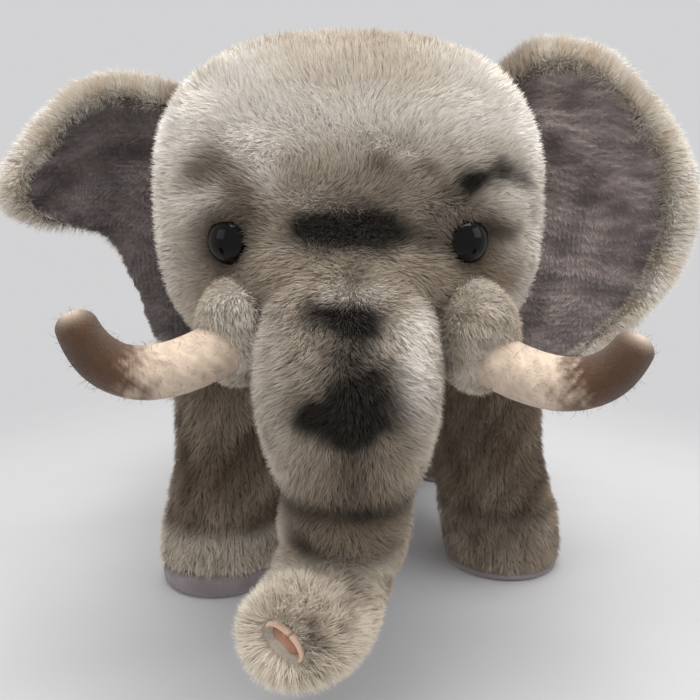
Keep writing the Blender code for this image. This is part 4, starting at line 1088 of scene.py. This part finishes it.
for side, sign in (("left", 1), ("right", -1)):
    net = np.array(EAR_NETS[side]) * MM + (face_half[0], HEAD_LENGTH / 2, 0)
    rows, columns = 84, 54
    sheet = net_sheet(net * (sign, 1, 1) + head_middle, rows, columns)
    normal = unit(np.cross(np.gradient(sheet, axis=0), np.gradient(sheet, axis=1)))
    normal *= -np.sign(normal[..., 1].mean())
    over, down = lengths_along(sheet, 1) / MM, lengths_along(sheet, 0) / MM
    v, u = np.meshgrid(np.linspace(0, 1, rows), np.linspace(0, 1, columns), indexing="ij")
    to_rim, to_top, to_foot = over[:, -1:] - over, down, down[-1:] - down
    edge = (sum((gap + 0.05) ** -3.0 for gap in (to_rim, to_top, to_foot))) ** (-1 / 3)
    wide = np.interp(v, EDGE_PLACES, EDGE_WIDTHS[side])
    roll = np.sqrt(np.clip(1 - ((edge - wide / 2) / (wide / 2)) ** 2, 0, 1))
    front = np.where(edge < wide, roll * np.minimum(wide * ROLL_SHARE, ROLL_MOST), 0)
    back = -BACK_BULGE * np.sqrt(np.clip(edge / 3, 0.01, 1))
    front_face, back_face = (sheet + normal * (height * MM)[..., None] for height in (front, back))
    ear = slab(f"ear_{side}_plush", front_face, back_face)
    # The ear's cloth is darkened as painted shade under its pile.
    wash(ear, ear_dye, 0.7)
    root_at = face_half[0] + np.array([0, 7.5]) * MM
    join = ("toy", f"ear_{side}", *(head_middle + (sign * x, 25 * MM, 0) for x in root_at))
    outward = lambda points, start=sheet[ROOT_ROW, 0]: points - start + np.array([0, 4 * MM, 0])
    all_of_it, none_of_it = np.ones(u.size), np.zeros(u.size)
    rim_sow = np.r_[np.clip((wide - edge) / 0.8 + 0.5, 0, 1).ravel(), none_of_it]
    back_sow = np.r_[none_of_it, all_of_it]
    for part, sow, per_mm2, lean, width in (("rim", rim_sow, 13, 30, 0.17), ("back", back_sow, 3.4, 44, 0.3)):
        fur = pile(f"ear_{side}_{part}_pile", ear, per_mm2, 4.4, outward, ear_dye, lean=lean, clump=1.8,
                   sow=sow, width=width, painted_shade=0.8)
        settle(fur, plush, joint=join)
    settle(ear, backing, joint=join, nodes=(f"ear_{side}_cloth", f"ear_{side}_seam"))
    spread = (over[:, -1].max() * MM, down.max() * MM)
    area = float(min(cloth_area(sheet), 0.999 * spread[0] * spread[1]))

    # The lining stops inside the roll. Its own relief: a soft diagonal fold and puckers at the rim.
    reach = 1 - np.clip((wide[:, -1:] - 1.2) / over[:, -1:], 0, 0.5)
    inner_v = LINING_TOP + (LINING_FOOT - LINING_TOP) * v[:, 0]
    rows_at = inner_v * (rows - 1)
    columns_at = u * np.interp(inner_v, v[:, 0], reach[:, 0])[:, None] * (columns - 1)
    low_row = np.clip(rows_at.astype(int), 0, rows - 2)
    low_column = np.clip(columns_at.astype(int), 0, columns - 2)
    row_share, column_share = (rows_at - low_row)[:, None, None], (columns_at - low_column)[..., None]

    def sampled(field):
        """A grid of points read between its rows and columns at the lining's places."""
        field = field if field.ndim == 3 else field[..., None]
        line, after = low_row[:, None], low_row[:, None] + 1
        upper = field[line, low_column] * (1 - column_share) + field[line, low_column + 1] * column_share
        lower = field[after, low_column] * (1 - column_share) + field[after, low_column + 1] * column_share
        return upper * (1 - row_share) + lower * row_share

    slant, ridge, step, padding, nap_per_mm2 = LININGS[side]
    across = (v - 0.12) - (u - 0.1) * slant
    fold = np.exp(-((across / 0.07) ** 2)) * ridge
    fold = fold + 1.0 / (1 + np.exp(across / 0.03)) * step
    pucker = np.exp(-(((u - 1) / 0.22) ** 2)) * np.sin(v * 110 + 3 * np.sin(9 * v)) * 0.45
    puff = 0.9 * np.sin(np.pi * np.clip(u, 0, 1)) * np.sin(np.pi * v)
    swell = drift(sheet.reshape(-1, 3), 14 * MM, 75).reshape(u.shape) * 0.5
    relief = np.clip(padding + puff + fold + pucker + swell, 0.45, 5) * np.clip((1 - u) / 0.06 + 0.3, 0.3, 1)
    seat, lift = sampled(sheet), sampled(normal)
    lining_face = seat + lift * ((0.35 + relief) * MM)[..., None]
    lining = slab(f"ear_{side}_velour", lining_face, seat + lift * 0.1 * MM)
    wash(lining, lining_dye, 0.8)
    nap_way = lambda points, start=sheet[ROOT_ROW, 0]: unit(points - start) + np.array([0, 0, -0.5])
    nap = pile(f"ear_{side}_nap", lining, nap_per_mm2, 2.3, nap_way, lining_dye, lean=48,
               clump=1.5, sow=np.r_[all_of_it, none_of_it], width=0.17, wander=1.0, draw=0.7, vary=0.12,
               painted_shade=0.7)
    settle(nap, velour, joint=join)
    settle(lining, velour, joint=join, nodes=(f"ear_{side}_lining",))
    spread = (lengths_along(seat, 1).max(), lengths_along(seat, 0).max())
    area = float(min(cloth_area(seat), 0.999 * spread[0] * spread[1]))

# ---- The tail ---------------------------------------------------------------------------------
# A rolled plush cord with a tuft of long pile, sewn to the rump. It is made in two parts that
# meet where the roll is stitched through, halfway down.
CORD_PLACES, CORD_RADII = [0, 0.15, 1.8, 2.0, 2.2, 2.9, 3.1], [3.2, 3.6, 3.1, 2.3, 2.8, 2.6, 1.2]
KNOT_PLACES, KNOT_RADII = [2.75, 2.9, 3.1, 3.35], [1.6, 2.6, 2.4, 0.6]
rump = np.array([body_middle[0], body_high[1] + 1 * MM, body_middle[2]])
tail_keys = rump + np.array([(0, -2, 24), (0, 8.5, 17), (0, 10, -4), (0, 8, -26), (0, 7, -45)]) * MM
tail_down = lambda points: np.array([0, 0.1, -1]) + 0 * points


def tail_dye(points):
    """Olive at the rump, darkening to dusk 40 mm lower."""
    return mixed(OLIVE + 0 * points, DUSK, np.clip((rump[2] - points[:, 2]) / (40 * MM), 0, 1))


swing_join = ("toy", "tail_upper", tail_keys[0] + (0, 1 * MM, 0), tail_keys[0] + (0, 7 * MM, -4 * MM))
lift_join = ("tail_upper", "tail_lower", tail_keys[2] + (0, 0, 4 * MM), tail_keys[2] - (0, 0, 4 * MM))
tail_parts = {"upper": (0, 1.6, swing_join), "lower": (1.5, 3.1, lift_join)}
for part, (first, last, join) in tail_parts.items():
    at = np.linspace(first, last, 60)
    size = np.interp(at, CORD_PLACES, CORD_RADII) * MM
    cord = grid_mesh(f"tail_{part}_plush", tube(curve(tail_keys, at), size, 48), True)
    wash(cord, tail_dye)
    fur = pile(f"tail_{part}_pile", cord, 9, 4.0, tail_down, tail_dye, lean=55, width=0.24)
    settle(fur, plush, joint=join)
    settle(cord, backing, joint=join, nodes=(f"tail_{part}",))
at = np.linspace(KNOT_PLACES[0], KNOT_PLACES[-1], 40)
size = np.interp(at, KNOT_PLACES, KNOT_RADII) * MM
knot = grid_mesh("tail_tuft_knot", tube(curve(tail_keys, at), size, 40), True)
# The knot is darkened by half as painted shade under its tuft.
wash(knot, tail_dye, 0.5)
long_pile = finish("long_pile", pile_paint, Roughness=0.7, Sheen_Weight=0.3, Specular_IOR_Level=0.25)
tuft_hair = pile("tail_tuft_hair", knot, 14, 13.0, tail_down, lambda p: tail_dye(p) * 0.8, lean=66, width=0.2,
                 wander=0.25, clump=4)
settle(tuft_hair, long_pile, "tail_lower")
settle(knot, backing, "tail_lower", nodes=("tail_tuft",))
